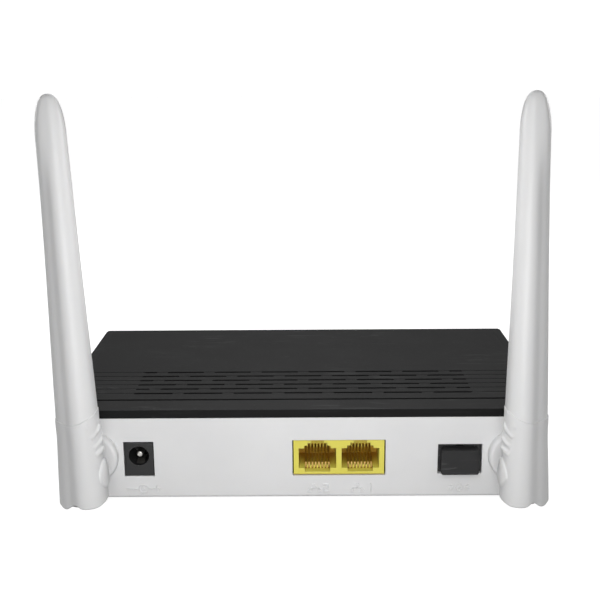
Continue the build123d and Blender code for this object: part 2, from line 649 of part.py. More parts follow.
# every capacitor: (x, y, radius, height)
CANS = [(-40.0, -12.0, 4.0, 12.0), (-30.0, -12.0, 3.2, 11.0), (-52.0, 16.0, 3.2, 9.0)]
with BuildPart() as capacitors:
    for cap_x, cap_y, cap_r, cap_h in CANS:
        with BuildSketch(Plane.XY.offset(BOARD_TOP)):
            with Locations((cap_x, cap_y)):
                Circle(cap_r)
        extrude(amount=cap_h)
    tops = capacitors.edges().filter_by(lambda e: e.center().Z > BOARD_TOP + 5.0)
    fillet(tops.filter_by(GeomType.CIRCLE), 0.5)
keep(capacitors.part, "capacitors")

LED_Y = FRONT_Y - WALL - 3.8
with BuildPart() as status_leds:
    with BuildSketch(Plane.XY.offset(BOARD_TOP)):
        with Locations((0, LED_Y)):
            with GridLocations(LIGHT_PITCH, 1.0, LIGHT_COUNT, 1):
                Rectangle(1.6, 0.9)
    extrude(amount=0.7)
keep(status_leds.part, "status_leds")

# The light guide is a bar across all the windows, with a foot over each light and a nose in each window.
with BuildPart() as light_guide:
    with BuildSketch(at_y(FRONT_Y - WALL - 0.2)):
        with Locations((0, LIGHT_Z)):
            Rectangle(LIGHT_PITCH * LIGHT_COUNT, 3.2)
    extrude(amount=1.4)
    with BuildSketch(at_y(FRONT_Y - WALL - 0.2)):
        with Locations((0, LIGHT_Z)):
            with GridLocations(LIGHT_PITCH, 1.0, LIGHT_COUNT, 1):
                RectangleRounded(LIGHT_W - 0.1, LIGHT_H - 0.1, 0.25)
    extrude(amount=-WALL - 0.1)
    for guide in range(LIGHT_COUNT):
        with BuildSketch(at_x(LIGHT_PITCH * (guide - (LIGHT_COUNT - 1) / 2) - 1.2)):
            with BuildLine():
                Polyline(
                    (LED_Y - 0.5, BOARD_TOP + 1.2), (LED_Y + 0.9, BOARD_TOP + 1.2),
                    (FRONT_Y - WALL - 1.0, LIGHT_Z - 1.5), (FRONT_Y - WALL - 1.0, LIGHT_Z + 1.0),
                    (LED_Y - 0.5, LIGHT_Z - 2.0), close=True,
                )
            make_face()
        extrude(amount=2.4)
keep(light_guide.part, "light_guide")

# ======================= buttons =======================

SWITCH_BACK, SWITCH_FACE = 65.0, 69.0
PLUNGER_TIP = 71.0

with BuildPart() as side_switches:
    for switch_y in (WPS_Y, RESET_Y):
        with BuildSketch(Plane.XY.offset(BOARD_TOP)):
            with Locations(((SWITCH_BACK + SWITCH_FACE) / 2, switch_y)):
                Rectangle(SWITCH_FACE - SWITCH_BACK, 6.0)
        extrude(amount=6.4)
        with BuildSketch(at_x(SWITCH_FACE)):
            with Locations((switch_y, SWITCH_Z)):
                Circle(PLUNGER_R + 0.1)
        extrude(amount=-2.0, mode=Mode.SUBTRACT)
keep(side_switches.part, "side_switches")


def plunger(switch_y):
    """Round plunger of one switch, with its foot inside the switch."""
    with BuildPart() as piece:
        with BuildSketch(at_x(SWITCH_FACE - 1.0)):
            with Locations((switch_y, SWITCH_Z)):
                Circle(PLUNGER_R)
        extrude(amount=PLUNGER_TIP - SWITCH_FACE + 1.0)
        chamfer(piece.faces().sort_by(Axis.X)[-1].edges(), 0.2)
    return piece.part


keep(plunger(WPS_Y), "wps_plunger")
keep(plunger(RESET_Y), "reset_plunger")

BUTTON_PROUD = 0.7
with BuildPart() as wps_button:
    with BuildSketch(at_x(BODY_WIDTH / 2 - WALL - 1.6)):
        with Locations((WPS_Y, SWITCH_Z)):
            Circle(BUTTON_R + 0.8)
    extrude(amount=1.2)
    with BuildSketch(at_x(BODY_WIDTH / 2 - WALL - 0.4)):
        with Locations((WPS_Y, SWITCH_Z)):
            Circle(BUTTON_R)
    extrude(amount=WALL + 0.4 - 0.2)
    fillet(wps_button.faces().sort_by(Axis.X)[-1].edges(), 0.5)
    with BuildSketch(at_x(PLUNGER_TIP)):
        with Locations((WPS_Y, SWITCH_Z)):
            Circle(1.3)
    extrude(amount=BODY_WIDTH / 2 - WALL - 1.6 - PLUNGER_TIP)
keep(wps_button.part, "wps_button")

# ======================= antennas =======================

BOSS_R, BOSS_THICKNESS, BOSS_GAP = 8.0, 2.6, 0.15
SHAFT_R = 5.0
CLIP_R, CLIP_THICKNESS = 6.4, 1.2
LUG_R, LUG_THICKNESS = 5.0, 5.0
FORK_GAP = 0.2
PIN_R = 1.5
PIN_PLAY = 0.05
FORM_BOTTOM = -7.4
FIN_BOTTOM = -9.3
FORM_START = -9.6
TIP_HEIGHT = 109.9
SEAM_OUTER, SEAM_LOW, SEAM_INNER = 20.4, 18.5, 22.2
SPIGOT_W, SPIGOT_T, SPIGOT_LENGTH = 6.4, 5.0, 9.0
# Stations along the form: height over the hinge, width, front face, back face, setback of the outer strip.
STATIONS = [
    (FORM_START, 14.5, FORM_FRONT, FORM_BACK, 2.6),
    (FORM_BOTTOM, 14.3, FORM_FRONT, FORM_BACK, 2.6),
    (0.0, 13.7, 8.9, 3.0, 2.5),
    (12.0, 12.5, 8.7, 2.7, 2.3),
    (30.0, 11.5, 8.4, 2.2, 2.0),
    (60.0, 9.8, 7.9, 1.4, 1.7),
    (97.0, 8.1, 7.3, 0.5, 1.2),
]
TIP_STATIONS = [
    (97.0, 8.1, 7.3, 0.5, 1.2),
    (102.0, 7.6, 7.0, 0.2, 0.7),
    (105.5, 6.7, 6.6, -0.2, 0.3),
    (108.2, 5.0, 5.9, -0.9, 0.1),
    (TIP_HEIGHT, 2.4, 4.9, -1.9, 0.02),
]


def hinge_frame(side):
    """Frame at an antenna's hinge: local x along the hinge pin, local z up the antenna."""
    lean = radians(ANTENNA_LEAN)
    return Plane(
        origin=(side * ANTENNA_X, HINGE_Y, HINGE_Z),
        x_dir=(cos(lean), 0, -sin(lean)),
        z_dir=(sin(lean), 0, cos(lean)),
    )


def across(frame, out=0.0):
    """Plane facing out of the rear wall, out millimetres beyond the hinge; local y is up the antenna."""
    return Plane(origin=frame.origin + Vector(0, -out, 0), x_dir=frame.x_dir, z_dir=(0, -1, 0))


def sideways(frame, shift=0.0):
    """Plane facing along the hinge pin; local x runs to the front, local y up the antenna."""
    return Plane(origin=frame.origin + frame.x_dir * shift, x_dir=(0, 1, 0), z_dir=frame.x_dir)


def form_outline(side, width, front, back, setback):
    """Closed outline of the form at one station: a rounded front, with a strip that falls back outside it."""
    half, mid, thick = width / 2, (back - front) / 2, (back + front) / 2
    points = [
        (1.00, mid), (0.82, 0.32 * thick + 0.92 * setback - front),
        (0.62, 0.14 * thick + 0.92 * setback - front), (0.38, 0.06 * thick + 0.70 * setback - front),
        (0.06, 0.02 * thick + 0.11 * setback - front), (-0.30, 0.03 - front), (-0.78, mid - 0.74 * thick),
        (-1.00, mid), (-0.80, mid + 0.80 * thick), (0.0, back), (0.80, mid + 0.80 * thick),
    ]
    return [(side * out * half, y) for out, y in points]


def antenna_form(side):
    """Whole outer form of one antenna, from its lower end to its tip."""
    frame = hinge_frame(side)
    with BuildPart() as form:
        for height, width, front, back, setback in STATIONS:
            with BuildSketch(frame.offset(height)):
                with BuildLine():
                    Spline(form_outline(side, width, front, back, setback), periodic=True)
                make_face()
        loft(ruled=True)
        for height, width, front, back, setback in TIP_STATIONS:
            with BuildSketch(frame.offset(height)):
                with BuildLine():
                    Spline(form_outline(side, width, front, back, setback), periodic=True)
                make_face()
        loft(ruled=True)
    return form.part


def seam_region(side, upper, gap):
    """Area on the antenna's front over the seam, or under it down to the scalloped lower end."""
    shift = gap / 2 if upper else -gap / 2
    outer, inner = side * 12.0, -side * 12.0
    with BuildSketch(mode=Mode.PRIVATE) as region:
        with BuildLine():
            FilletPolyline(
                (outer, SEAM_OUTER + 2.0 + shift), (side * 2.4, SEAM_LOW + shift),
                (inner, SEAM_INNER + 2.0 + shift), radius=6.0,
            )
            if upper:
                Polyline(
                    (inner, SEAM_INNER + 2.0 + shift), (inner, 150.0), (outer, 150.0),
                    (outer, SEAM_OUTER + 2.0 + shift),
                )
            else:
                Line((inner, SEAM_INNER + 2.0 + shift), (inner, FORM_BOTTOM))
                Spline(
                    (inner, FORM_BOTTOM), (-side * 2.0, FORM_BOTTOM), (side * 2.6, FORM_BOTTOM + 0.4),
                    (side * 4.4, FIN_BOTTOM + 0.9), (side * 6.2, FIN_BOTTOM), (outer, FIN_BOTTOM),
                )
                Line((outer, FIN_BOTTOM), (outer, SEAM_OUTER + 2.0 + shift))
        make_face()
    return region.sketch


for side_name, side in (("left", -1), ("right", 1)):
    frame = hinge_frame(side)
    form = antenna_form(side)

    with BuildPart() as antenna_stub:
        # boss outside the wall, shaft through it, and the lug that carries the hinge pin
        with BuildSketch(across(frame, BOSS_GAP - HINGE_OUT)):
            Circle(BOSS_R)
        extrude(amount=BOSS_THICKNESS)
        fillet(antenna_stub.faces().sort_by(Axis.Y)[0].edges(), 1.2)
        with BuildSketch(across(frame, BOSS_GAP - HINGE_OUT)):
            Circle(SHAFT_R)
        extrude(amount=-WALL - CLIP_THICKNESS - 0.8)
        with BuildSketch(sideways(frame, -LUG_THICKNESS / 2)):
            Circle(LUG_R)
            with Locations(((HINGE_OUT - BOSS_THICKNESS) / 2, 0)):
                Rectangle(HINGE_OUT - BOSS_THICKNESS, 2 * LUG_R)
        extrude(amount=LUG_THICKNESS)
        with BuildSketch(sideways(frame, -LUG_THICKNESS / 2)):
            Circle(PIN_R + PIN_PLAY)
        extrude(amount=LUG_THICKNESS, mode=Mode.SUBTRACT)
        with BuildSketch(across(frame, -HINGE_OUT - WALL - CLIP_THICKNESS - 1.0)):
            Circle(1.2)
        extrude(amount=9.0, mode=Mode.SUBTRACT)
    keep(antenna_stub.part, f"antenna_stub_{side_name}")

    with BuildPart() as stub_clip:
        with BuildSketch(across(frame, -HINGE_OUT - WALL - BOSS_GAP)):
            Circle(CLIP_R)
            Circle(SHAFT_R, mode=Mode.SUBTRACT)
            with Locations((0, -SHAFT_R)):
                Rectangle(3.0, 6.0, mode=Mode.SUBTRACT)
        extrude(amount=-CLIP_THICKNESS)
    keep(stub_clip.part, f"stub_clip_{side_name}")

    with BuildPart() as hinge_pin:
        with BuildSketch(sideways(frame, -5.2)):
            Circle(PIN_R)
        extrude(amount=10.4)
        chamfer(hinge_pin.edges().filter_by(GeomType.CIRCLE), 0.2)
    keep(hinge_pin.part, f"hinge_pin_{side_name}")

    with BuildPart() as antenna_base:
        add(form)
        with BuildSketch(across(frame, 15.0)):
            add(seam_region(side, upper=False, gap=0.12))
        extrude(amount=-30.0, mode=Mode.INTERSECT)
        # spigot that plugs into the sheath
        with BuildSketch(frame.offset(SEAM_LOW - 2.0)):
            with Locations((0, -3.4)):
                RectangleRounded(SPIGOT_W, SPIGOT_T, 1.5)
        extrude(amount=SPIGOT_LENGTH + 2.0)
        # slot for the lug, open at the back and through the lower end, so that the antenna folds down
        with BuildSketch(sideways(frame, -LUG_THICKNESS / 2 - FORK_GAP)):
            Circle(LUG_R + 0.35)
            with Locations((7.0, -5.0)):
                Rectangle(14.0, 2 * LUG_R + 10.7)
            with Locations((0, -8.0)):
                Rectangle(2 * LUG_R + 0.7, 16.0)
        extrude(amount=LUG_THICKNESS + 2 * FORK_GAP, mode=Mode.SUBTRACT)
        with BuildSketch(sideways(frame, -5.2)):
            Circle(PIN_R)
        extrude(amount=10.4, mode=Mode.SUBTRACT)
        # channel for the element's feed
        with BuildSketch(frame.offset(8.0)):
            with Locations((0, -3.4)):
                Circle(1.1)
        extrude(amount=40.0, mode=Mode.SUBTRACT)
    keep(antenna_base.part, f"antenna_base_{side_name}")

    with BuildPart() as antenna_sheath:
        add(form)
        with BuildSketch(across(frame, 15.0)):
            add(seam_region(side, upper=True, gap=0.12))
        extrude(amount=-30.0, mode=Mode.INTERSECT)
        with BuildSketch(frame.offset(SEAM_LOW - 2.0)):
            with Locations((0, -3.4)):
                RectangleRounded(SPIGOT_W + 0.2, SPIGOT_T + 0.2, 1.6)
        extrude(amount=SPIGOT_LENGTH + 2.1, mode=Mode.SUBTRACT)
        with BuildSketch(frame.offset(SEAM_LOW + SPIGOT_LENGTH)):
            with Locations((0, -3.4)):
                Rectangle(4.4, 3.0)
        extrude(amount=72.0, mode=Mode.SUBTRACT)
    keep(antenna_sheath.part, f"antenna_sheath_{side_name}")

    with BuildPart() as antenna_element:
        with BuildSketch(frame.offset(SEAM_LOW + SPIGOT_LENGTH + 0.2)):
            with Locations((0, -3.4)):
                Rectangle(4.0, 0.8)
        extrude(amount=70.0)
        with BuildSketch(frame.offset(9.0)):
            with Locations((0, -3.4)):
                Circle(0.9)
        extrude(amount=SEAM_LOW + SPIGOT_LENGTH + 0.2 - 9.0)
    keep(antenna_element.part, f"antenna_element_{side_name}")

# ======================= leads inside the housing =======================

LEAD_R = 0.7
CONNECTOR_X, CONNECTOR_Y, CONNECTOR_HEIGHT = 57.0, -3.0, 1.4
with BuildPart() as coax_connectors:
    for side in (-1, 1):
        with BuildSketch(Plane.XY.offset(BOARD_TOP)):
            with Locations((side * CONNECTOR_X, CONNECTOR_Y)):
                Circle(1.5)
                with Locations((0, -1.5)):
                    Rectangle(2.0, 3.0)
        extrude(amount=2 * CONNECTOR_HEIGHT)
keep(coax_connectors.part, "coax_connectors")

for side_name, side in (("left", -1), ("right", 1)):
    lead_z = BOARD_TOP + CONNECTOR_HEIGHT
    start_y = CONNECTOR_Y - 3.0
    route = [
        (side * CONNECTOR_X, start_y, lead_z), (side * CONNECTOR_X, start_y - 7.0, lead_z),
        (side * ANTENNA_X, start_y - 16.5, HINGE_Z), (side * ANTENNA_X, REAR_Y + 4.6, HINGE_Z),
    ]
    with BuildPart() as coax_lead:
        with BuildLine() as lead_path:
            FilletPolyline(*route, radius=4.0)
        with BuildSketch(Plane(origin=route[0], z_dir=(0, -1, 0))):
            Circle(LEAD_R)
        sweep(path=lead_path.line)
    keep(coax_lead.part, f"coax_lead_{side_name}")

whole = Compound(children=MADE).bounding_box()
print("pieces", len(MADE), "box", whole.min, whole.max)
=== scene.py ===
"""Looks of a flat optical network terminal with two fold-down antennas, built round its frame."""

import logging
from dataclasses import dataclass, field
from enum import Enum
from math import cos, pi, radians, sin

import bpy
import numpy as np
from mathutils import Matrix, Vector


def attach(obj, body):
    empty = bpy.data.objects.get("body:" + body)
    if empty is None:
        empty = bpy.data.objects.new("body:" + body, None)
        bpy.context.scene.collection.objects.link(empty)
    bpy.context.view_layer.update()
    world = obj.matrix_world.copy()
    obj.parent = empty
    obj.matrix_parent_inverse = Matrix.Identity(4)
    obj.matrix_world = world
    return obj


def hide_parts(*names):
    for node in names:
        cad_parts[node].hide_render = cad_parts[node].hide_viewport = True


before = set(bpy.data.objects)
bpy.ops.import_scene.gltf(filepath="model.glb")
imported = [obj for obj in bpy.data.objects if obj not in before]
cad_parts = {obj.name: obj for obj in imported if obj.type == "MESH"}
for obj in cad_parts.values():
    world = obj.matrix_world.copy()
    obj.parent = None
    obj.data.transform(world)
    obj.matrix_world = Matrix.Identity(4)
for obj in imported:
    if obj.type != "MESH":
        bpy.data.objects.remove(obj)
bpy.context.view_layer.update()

LOG = logging.getLogger("terminal")
MM = 0.001
# sharpest bend between two faces that is still shaded smooth, in degrees
SMOOTH_ANGLE = 42.0
Triple = tuple[float, float, float]
WHITE = (1.0, 1.0, 1.0, 1.0)


class Kind(Enum):
    """What a shader socket carries."""

    NUMBER = "VALUE"
    COLOUR = "RGBA"
    VECTOR = "VECTOR"


class Side(Enum):
    """The two sides of the housing, seen from the sockets."""

    LEFT = -1
    RIGHT = 1

    @property
    def word(self) -> str:
        """The side's name as the frame's nodes spell it."""
        return self.name.lower()


class Curve(Enum):
    """The two curves that bound an antenna's base."""

    SEAM = "seam"
    LOWER_END = "lower_end"


# ------------------------------------------------------------------ shader maths


class Field:
    """A number, colour or vector that varies over a surface, with the operators of shader maths."""

    def __init__(self, paint: "Paint", socket: bpy.types.NodeSocket) -> None:
        """Wraps one output socket.

        Args:
            paint: the material that the socket belongs to.
            socket: the output socket.
        """
        self.paint = paint
        self.socket = socket

    @property
    def kind(self) -> Kind:
        """What the socket carries."""
        return Kind(self.socket.type)

    def _join(self, operation: str, first: "Source", second: "Source") -> "Field":
        """Joins two sources with one arithmetic node.

        Args:
            operation: the arithmetic, as both Math and Mix nodes name it.
            first: the left operand.
            second: the right operand.

        Returns:
            The result, as a colour if either side is one, then as a vector, else as a number.
        """
        kinds = {source.kind for source in (first, second) if isinstance(source, Field)}
        if Kind.COLOUR in kinds:
            return self.paint.node(
                "ShaderNodeMix",
                {"data_type": "RGBA", "blend_type": operation},
                {0: 1.0, 6: as_colour(first), 7: as_colour(second)},
                output=2,
            )
        if Kind.VECTOR in kinds:
            kind = "ShaderNodeVectorMath"
        else:
            kind = "ShaderNodeMath"
        return self.paint.node(kind, {"operation": operation}, {0: first, 1: second})

    def __add__(self, other: "Source") -> "Field":
        """Sum."""
        return self._join("ADD", self, other)

    def __radd__(self, other: "Source") -> "Field":
        """Sum, reflected."""
        return self._join("ADD", other, self)

    def __sub__(self, other: "Source") -> "Field":
        """Difference."""
        return self._join("SUBTRACT", self, other)

    def __rsub__(self, other: "Source") -> "Field":
        """Difference, reflected."""
        return self._join("SUBTRACT", other, self)

    def __mul__(self, other: "Source") -> "Field":
        """Product."""
        return self._join("MULTIPLY", self, other)

    def band(self, low: float, high: float, to_low: float = 0.0, to_high: float = 1.0) -> "Field":
        """Maps a range smoothly onto another and holds it there.

        Args:
            low: the value that becomes to_low.
            high: the value that becomes to_high.
            to_low: the result at and below low.
            to_high: the result at and above high.

        Returns:
            The mapped number.
        """
        return self.paint.node(
            "ShaderNodeMapRange",
            {"interpolation_type": "SMOOTHSTEP"},
            {0: self, 1: low, 2: high, 3: to_low, 4: to_high},
        )

    def between(self, first: "Source", second: "Source") -> "Field":
        """Blends two colours, with this number as the share of the second.

        Args:
            first: the colour where this number is 0.
            second: the colour where this number is 1.

        Returns:
            The blended colour.
        """
        return self.paint.node(
            "ShaderNodeMix",
            {"data_type": "RGBA", "blend_type": "MIX"},
            {0: self, 6: as_colour(first), 7: as_colour(second)},
            output=2,
        )

    def dot(self, other: "Field") -> "Field":
        """Scalar product of two vectors."""
        settings = {"operation": "DOT_PRODUCT"}
        return self.paint.node("ShaderNodeVectorMath", settings, {0: self, 1: other}, output=1)

    def part(self, index: int) -> "Field":
        """One coordinate of a vector, 0 for X, 1 for Y and 2 for Z."""
        return self.paint.node("ShaderNodeSeparateXYZ", {}, {0: self}, output=index)


Source = Field | float | tuple


def as_colour(source: Source) -> Source:
    """Gives a plain number or triple the channels that a colour socket needs.

    Args:
        source: a number, a triple or a field.

    Returns:
        Four channels, or the field as it is.
    """
    if isinstance(source, Field):
        return source
    if isinstance(source, (int, float)):
        return (source, source, source, 1.0)
    return (*source[:3], 1.0)


class Paint:
    """One node material under construction."""

    def __init__(self, name: str) -> None:
        """Starts an empty node material.

        Args:
            name: the material's name.
        """
        self.material = bpy.data.materials.new(name)
        self.material.use_nodes = True
        self.tree = self.material.node_tree
        self.tree.nodes.clear()
        self.place = self.node("ShaderNodeTexCoord", {}, {}, output=3)
        self.normal = self.node("ShaderNodeNewGeometry", {}, {}, output=1)

    def node(
        self, kind: str, settings: dict[str, object], sockets: dict[int | str, Source], output: int = 0
    ) -> Field:
        """Adds one node.

        Args:
            kind: the node's type.
            settings: its properties, set before its sockets.
            sockets: values or fields for its inputs, by index or name.
            output: which output to return.

        Returns:
            The chosen output.
        """
        node = self.tree.nodes.new(kind)
        for key, value in settings.items():
            setattr(node, key, value)
        for key, value in sockets.items():
            if isinstance(value, Field):
                self.tree.links.new(value.socket, node.inputs[key])
            else:
                node.inputs[key].default_value = value
        return Field(self, node.outputs[output])

    def noise(
        self, size: float, detail: float = 2.0, stretch: Triple = (1.0, 1.0, 1.0), warp: float = 0.0
    ) -> Field:
        """Soft noise from 0 to 1 around 0.5.

        Args:
            size: size of one blot in metres.
            detail: how many finer layers are added.
            stretch: how much denser the noise is along each axis.
            warp: distortion of the noise.

        Returns:
            The noise as a number.
        """
        where = self.place * stretch if stretch != (1.0, 1.0, 1.0) else self.place
        sockets = {"Vector": where, "Scale": 1 / size, "Detail": detail, "Distortion": warp}
        return self.node("ShaderNodeTexNoise", {}, sockets)

    def cells(self, size: float) -> Field:
        """Distance to the nearest cell centre of a cell pattern.

        Args:
            size: size of one cell in metres.

        Returns:
            The distance as a number.
        """
        sockets: dict[int | str, Source] = {"Vector": self.place, "Scale": 1 / size}
        return self.node("ShaderNodeTexVoronoi", {"feature": "F1"}, sockets)

    def edges(self, radius: float) -> tuple[Field, Field]:
        """Softened edges.

        Args:
            radius: radius of the softening in metres.

        Returns:
            The softened normal, and a mask that is 1 on edges and 0 on open faces.
        """
        soft = self.node("ShaderNodeBevel", {"samples": 4}, {"Radius": radius})
        mask = (1 - soft.dot(self.normal)).band(0.004, 0.16)
        return soft, mask

    def shelter(self, reach: float) -> Field:
        """How hidden a place is: 0 in the open and 1 deep in a recess, as used to paint shade into recesses.

        Args:
            reach: how far neighbouring walls count, in metres.

        Returns:
            The measure as a number.
        """
        return 1 - self.node("ShaderNodeAmbientOcclusion", {"samples": 8}, {"Distance": reach}, output=1)

    def relief(self, height: Field, depth: float, soft: Field | None = None) -> Field:
        """Turns a height into a normal.

        Args:
            height: the height from 0 to 1.
            depth: how deep a height of 1 is, in metres.
            soft: the normal that the relief lies on.

        Returns:
            The normal.
        """
        sockets: dict[int | str, Source] = {"Height": height, "Strength": 1.0, "Distance": depth}
        if soft is not None:
            sockets["Normal"] = soft
        return self.node("ShaderNodeBump", {}, sockets)

    def finish(
        self, colour: Source, roughness: Source, normal: Field, constants: dict[str, object]
    ) -> bpy.types.Material:
        """Closes the material with its shader.

        Args:
            colour: base colour.
            roughness: roughness.
            normal: surface normal.
            constants: plain values of any other socket of the shader, by name.

        Returns:
            The finished material.
        """
        sockets = {"Base Color": as_colour(colour), "Roughness": roughness, "Normal": normal}
        shader = self.node("ShaderNodeBsdfPrincipled", {}, {**sockets, **constants})
        output = self.tree.nodes.new("ShaderNodeOutputMaterial")
        self.tree.links.new(shader.socket, output.inputs["Surface"])
        return self.material


class Surround(Paint):
    """The light that comes from all round, as the nodes of a world."""

    def __init__(self, world: bpy.types.World) -> None:
        """Clears a world's nodes.

        Args:
            world: the world to light.
        """
        self.tree = world.node_tree
        self.tree.nodes.clear()
        self.place = self.node("ShaderNodeTexCoord", {}, {}, output=0)

    def light(self, level: Field) -> None:
        """Closes the world with a white light.

        Args:
            level: the light's level in every direction.
        """
        background = self.node("ShaderNodeBackground", {}, {"Color": WHITE, "Strength": level})
        output = self.tree.nodes.new("ShaderNodeOutputWorld")
        self.tree.links.new(background.socket, output.inputs["Surface"])


# ------------------------------------------------------------------ finishes


RUBBED_EDGE: Triple = (0.9, 0.9, 0.9)
SCUFF_GREY: Triple = (0.75, 0.75, 0.75)
LINT_GREY: Triple = (0.42, 0.41, 0.39)
# colour of the painted shade on upright walls
PAINTED_SHADE_BLACK: Triple = (0.002, 0.002, 0.002)
# sizes of one blot of each layer of plastic, and how far walls count when shade is painted into recesses, in
# metres
CLOUD_SIZE = 0.018
SCRATCH_SIZE = 0.006
PATCH_SIZE = 0.03
LINT_SIZE = 0.0011
PAINTED_SHADE_REACH = 0.007


@dataclass(frozen=True)
class MouldedPlastic:
    """Injection-moulded plastic with a spark-eroded grain, faint flow shading, scuffs and dust.

    Upright walls can be darkened with painted shade, and openings can be browned deep inside with painted
    shade.
    """

    name: str
    colour: Triple
    shade: Triple
    roughness: float = 0.45
    spread: float = 0.08
    grain: float = 0.00035
    grain_depth: float = 0.000006
    edge_radius: float = 0.00025
    edge_lift: float = 0.06
    scuffs: float = 0.25
    dust: float = 0.0
    specular: float = 0.5
    painted_upright_shade: float = 0.0
    painted_hollow_shade: Triple | None = None
    glow: float = 0.0
    glow_scale: float = 0.001
    sheen: float = 0.0

    def make(self) -> bpy.types.Material:
        """Makes the material.

        Returns:
            The finished material.
        """
        paint = Paint(self.name)
        soft, edge = paint.edges(self.edge_radius)
        cloud = paint.noise(CLOUD_SIZE, 3.0).band(0.32, 0.68)
        fine = paint.noise(self.grain, 2.0)
        pits = paint.cells(self.grain * 1.7).band(0.05, 0.6)
        scratch = paint.noise(SCRATCH_SIZE, 4.0, stretch=(0.35, 2.4, 3.1), warp=1.4).band(0.56, 0.63)
        patch = paint.noise(PATCH_SIZE, 2.0).band(0.5, 0.62)
        scuff = scratch * patch * self.scuffs
        colour = cloud.between(self.colour, self.shade)
        colour = (edge * self.edge_lift).between(colour, RUBBED_EDGE)
        colour = (scuff * 0.12).between(colour, SCUFF_GREY)
        if self.dust:
            lint = paint.noise(LINT_SIZE, 5.0, warp=0.6).band(0.6, 0.8)
            lying = paint.normal.part(2).band(0.55, 0.95) * lint * self.dust
            colour = lying.between(colour, LINT_GREY)
        # painted shade: the colour is browned deep in recesses where walls close round a place, standing in
        # for the shade inside openings
        if self.painted_hollow_shade:
            colour = paint.shelter(PAINTED_SHADE_REACH).band(0.42, 0.9).between(colour, self.painted_hollow_shade)
        # painted shade: walls that stand upright are darkened towards black, standing in for the shade on
        # them
        if self.painted_upright_shade:
            shaded_upright = 1 - (paint.normal.part(2) * paint.normal.part(2)).band(0.02, 0.3)
            colour = (shaded_upright * self.painted_upright_shade).between(colour, PAINTED_SHADE_BLACK)
        roughness = (fine - 0.5) * self.spread + self.roughness + scuff * 0.1 - edge * 0.06
        normal = paint.relief(fine * 0.6 + pits * 0.4, self.grain_depth, soft)
        constants: dict[str, object] = {"Specular IOR Level": self.specular}
        if self.glow:
            constants |= {
                "Subsurface Weight": self.glow,
                "Subsurface Scale": self.glow_scale,
                "Subsurface Radius": (1.0, 0.8, 0.55),
            }
        if self.sheen:
            constants |= {"Sheen Weight": self.sheen}
        return paint.finish(colour, roughness, normal, constants)


@dataclass(frozen=True)
class BareMetal:
    """Bright or plated metal with fine brushing, stains and rubbed edges."""

    name: str
    colour: Triple
    stain: Triple
    roughness: float = 0.3
    brushing: Triple = (1.0, 1.0, 12.0)
    depth: float = 0.000003

    def make(self) -> bpy.types.Material:
        """Makes the material.

        Returns:
            The finished material.
        """
        paint = Paint(self.name)
        soft, edge = paint.edges(0.00012)
        brushed = paint.noise(0.0006, 4.0, stretch=self.brushing)
        blots = paint.noise(0.004, 4.0, warp=0.8).band(0.45, 0.75)
        colour = (blots * 0.6).between(self.colour, self.stain)
        roughness = brushed * 0.22 + blots * 0.15 - edge * 0.08 + (self.roughness - 0.1)
        normal = paint.relief(brushed, self.depth, soft)
        return paint.finish(colour, roughness, normal, {"Metallic": 1.0})


@dataclass(frozen=True)
class CircuitLaminate:
    """Laminate under a coloured mask, with copper runs, plated holes and a woven base."""

    name: str
    mask: Triple = (0.008, 0.075, 0.03)
    copper: Triple = (0.02, 0.16, 0.06)
    plating: Triple = (0.72, 0.66, 0.5)

    def make(self) -> bpy.types.Material:
        """Makes the material.

        Returns:
            The finished material.
        """
        paint = Paint(self.name)
        across = paint.node(
            "ShaderNodeTexBrick",
            {"offset": 0.37, "squash": 1.0},
            {
                "Vector": paint.place, "Scale": 160.0, "Mortar Size": 0.035,
                "Color1": (1, 1, 1, 1), "Color2": (1, 1, 1, 1),
            },
            output=1,
        )
        runs = across.band(0.2, 0.8)
        holes = 1 - paint.cells(0.0028).band(0.09, 0.14)
        warp = paint.noise(0.0004, 1.0, stretch=(3.0, 0.5, 1.0))
        weft = paint.noise(0.0004, 1.0, stretch=(0.5, 3.0, 1.0))
        weave = warp * 0.5 + weft * 0.5
        cloud = paint.noise(0.02, 2.0).band(0.3, 0.7)
        colour = cloud.between(self.mask, tuple(channel * 1.5 for channel in self.mask))
        colour = runs.between(colour, self.copper)
        colour = holes.between(colour, self.plating)
        height = runs * 0.6 + weave * 0.3 - holes * 0.5
        roughness = 0.3 + weave * 0.12 - holes * 0.05
        return paint.finish(colour, roughness, paint.relief(height, 0.00004), {"Coat Weight": 0.3})


@dataclass(frozen=True)
class FilmLabel:
    """Printed film: a pale matt sheet with plain rules and blank fields."""

    name: str
    film: Triple = (0.72, 0.73, 0.74)
    ink: Triple = (0.3, 0.32, 0.34)

    def make(self) -> bpy.types.Material:
        """Makes the material.

        Returns:
            The finished material.
        """
        paint = Paint(self.name)
        fields = paint.node(
            "ShaderNodeTexBrick",
            {"offset": 0.0, "squash": 1.0},
            {
                "Vector": paint.place, "Scale": 1.0, "Brick Width": 0.0148, "Row Height": 0.0038,
                "Mortar Size": 0.00012, "Color1": (1, 1, 1, 1), "Color2": (1, 1, 1, 1),
            },
            output=1,
        )
        fibre = paint.noise(0.0003, 3.0)
        cloud = paint.noise(0.01, 2.0).band(0.35, 0.7)
        colour = (cloud * 0.12).between(self.film, (0.6, 0.6, 0.58))
        colour = (fields * 0.8).between(colour, self.ink)
        return paint.finish(colour, 0.42 + fibre * 0.15, paint.relief(fibre, 0.000004), {})


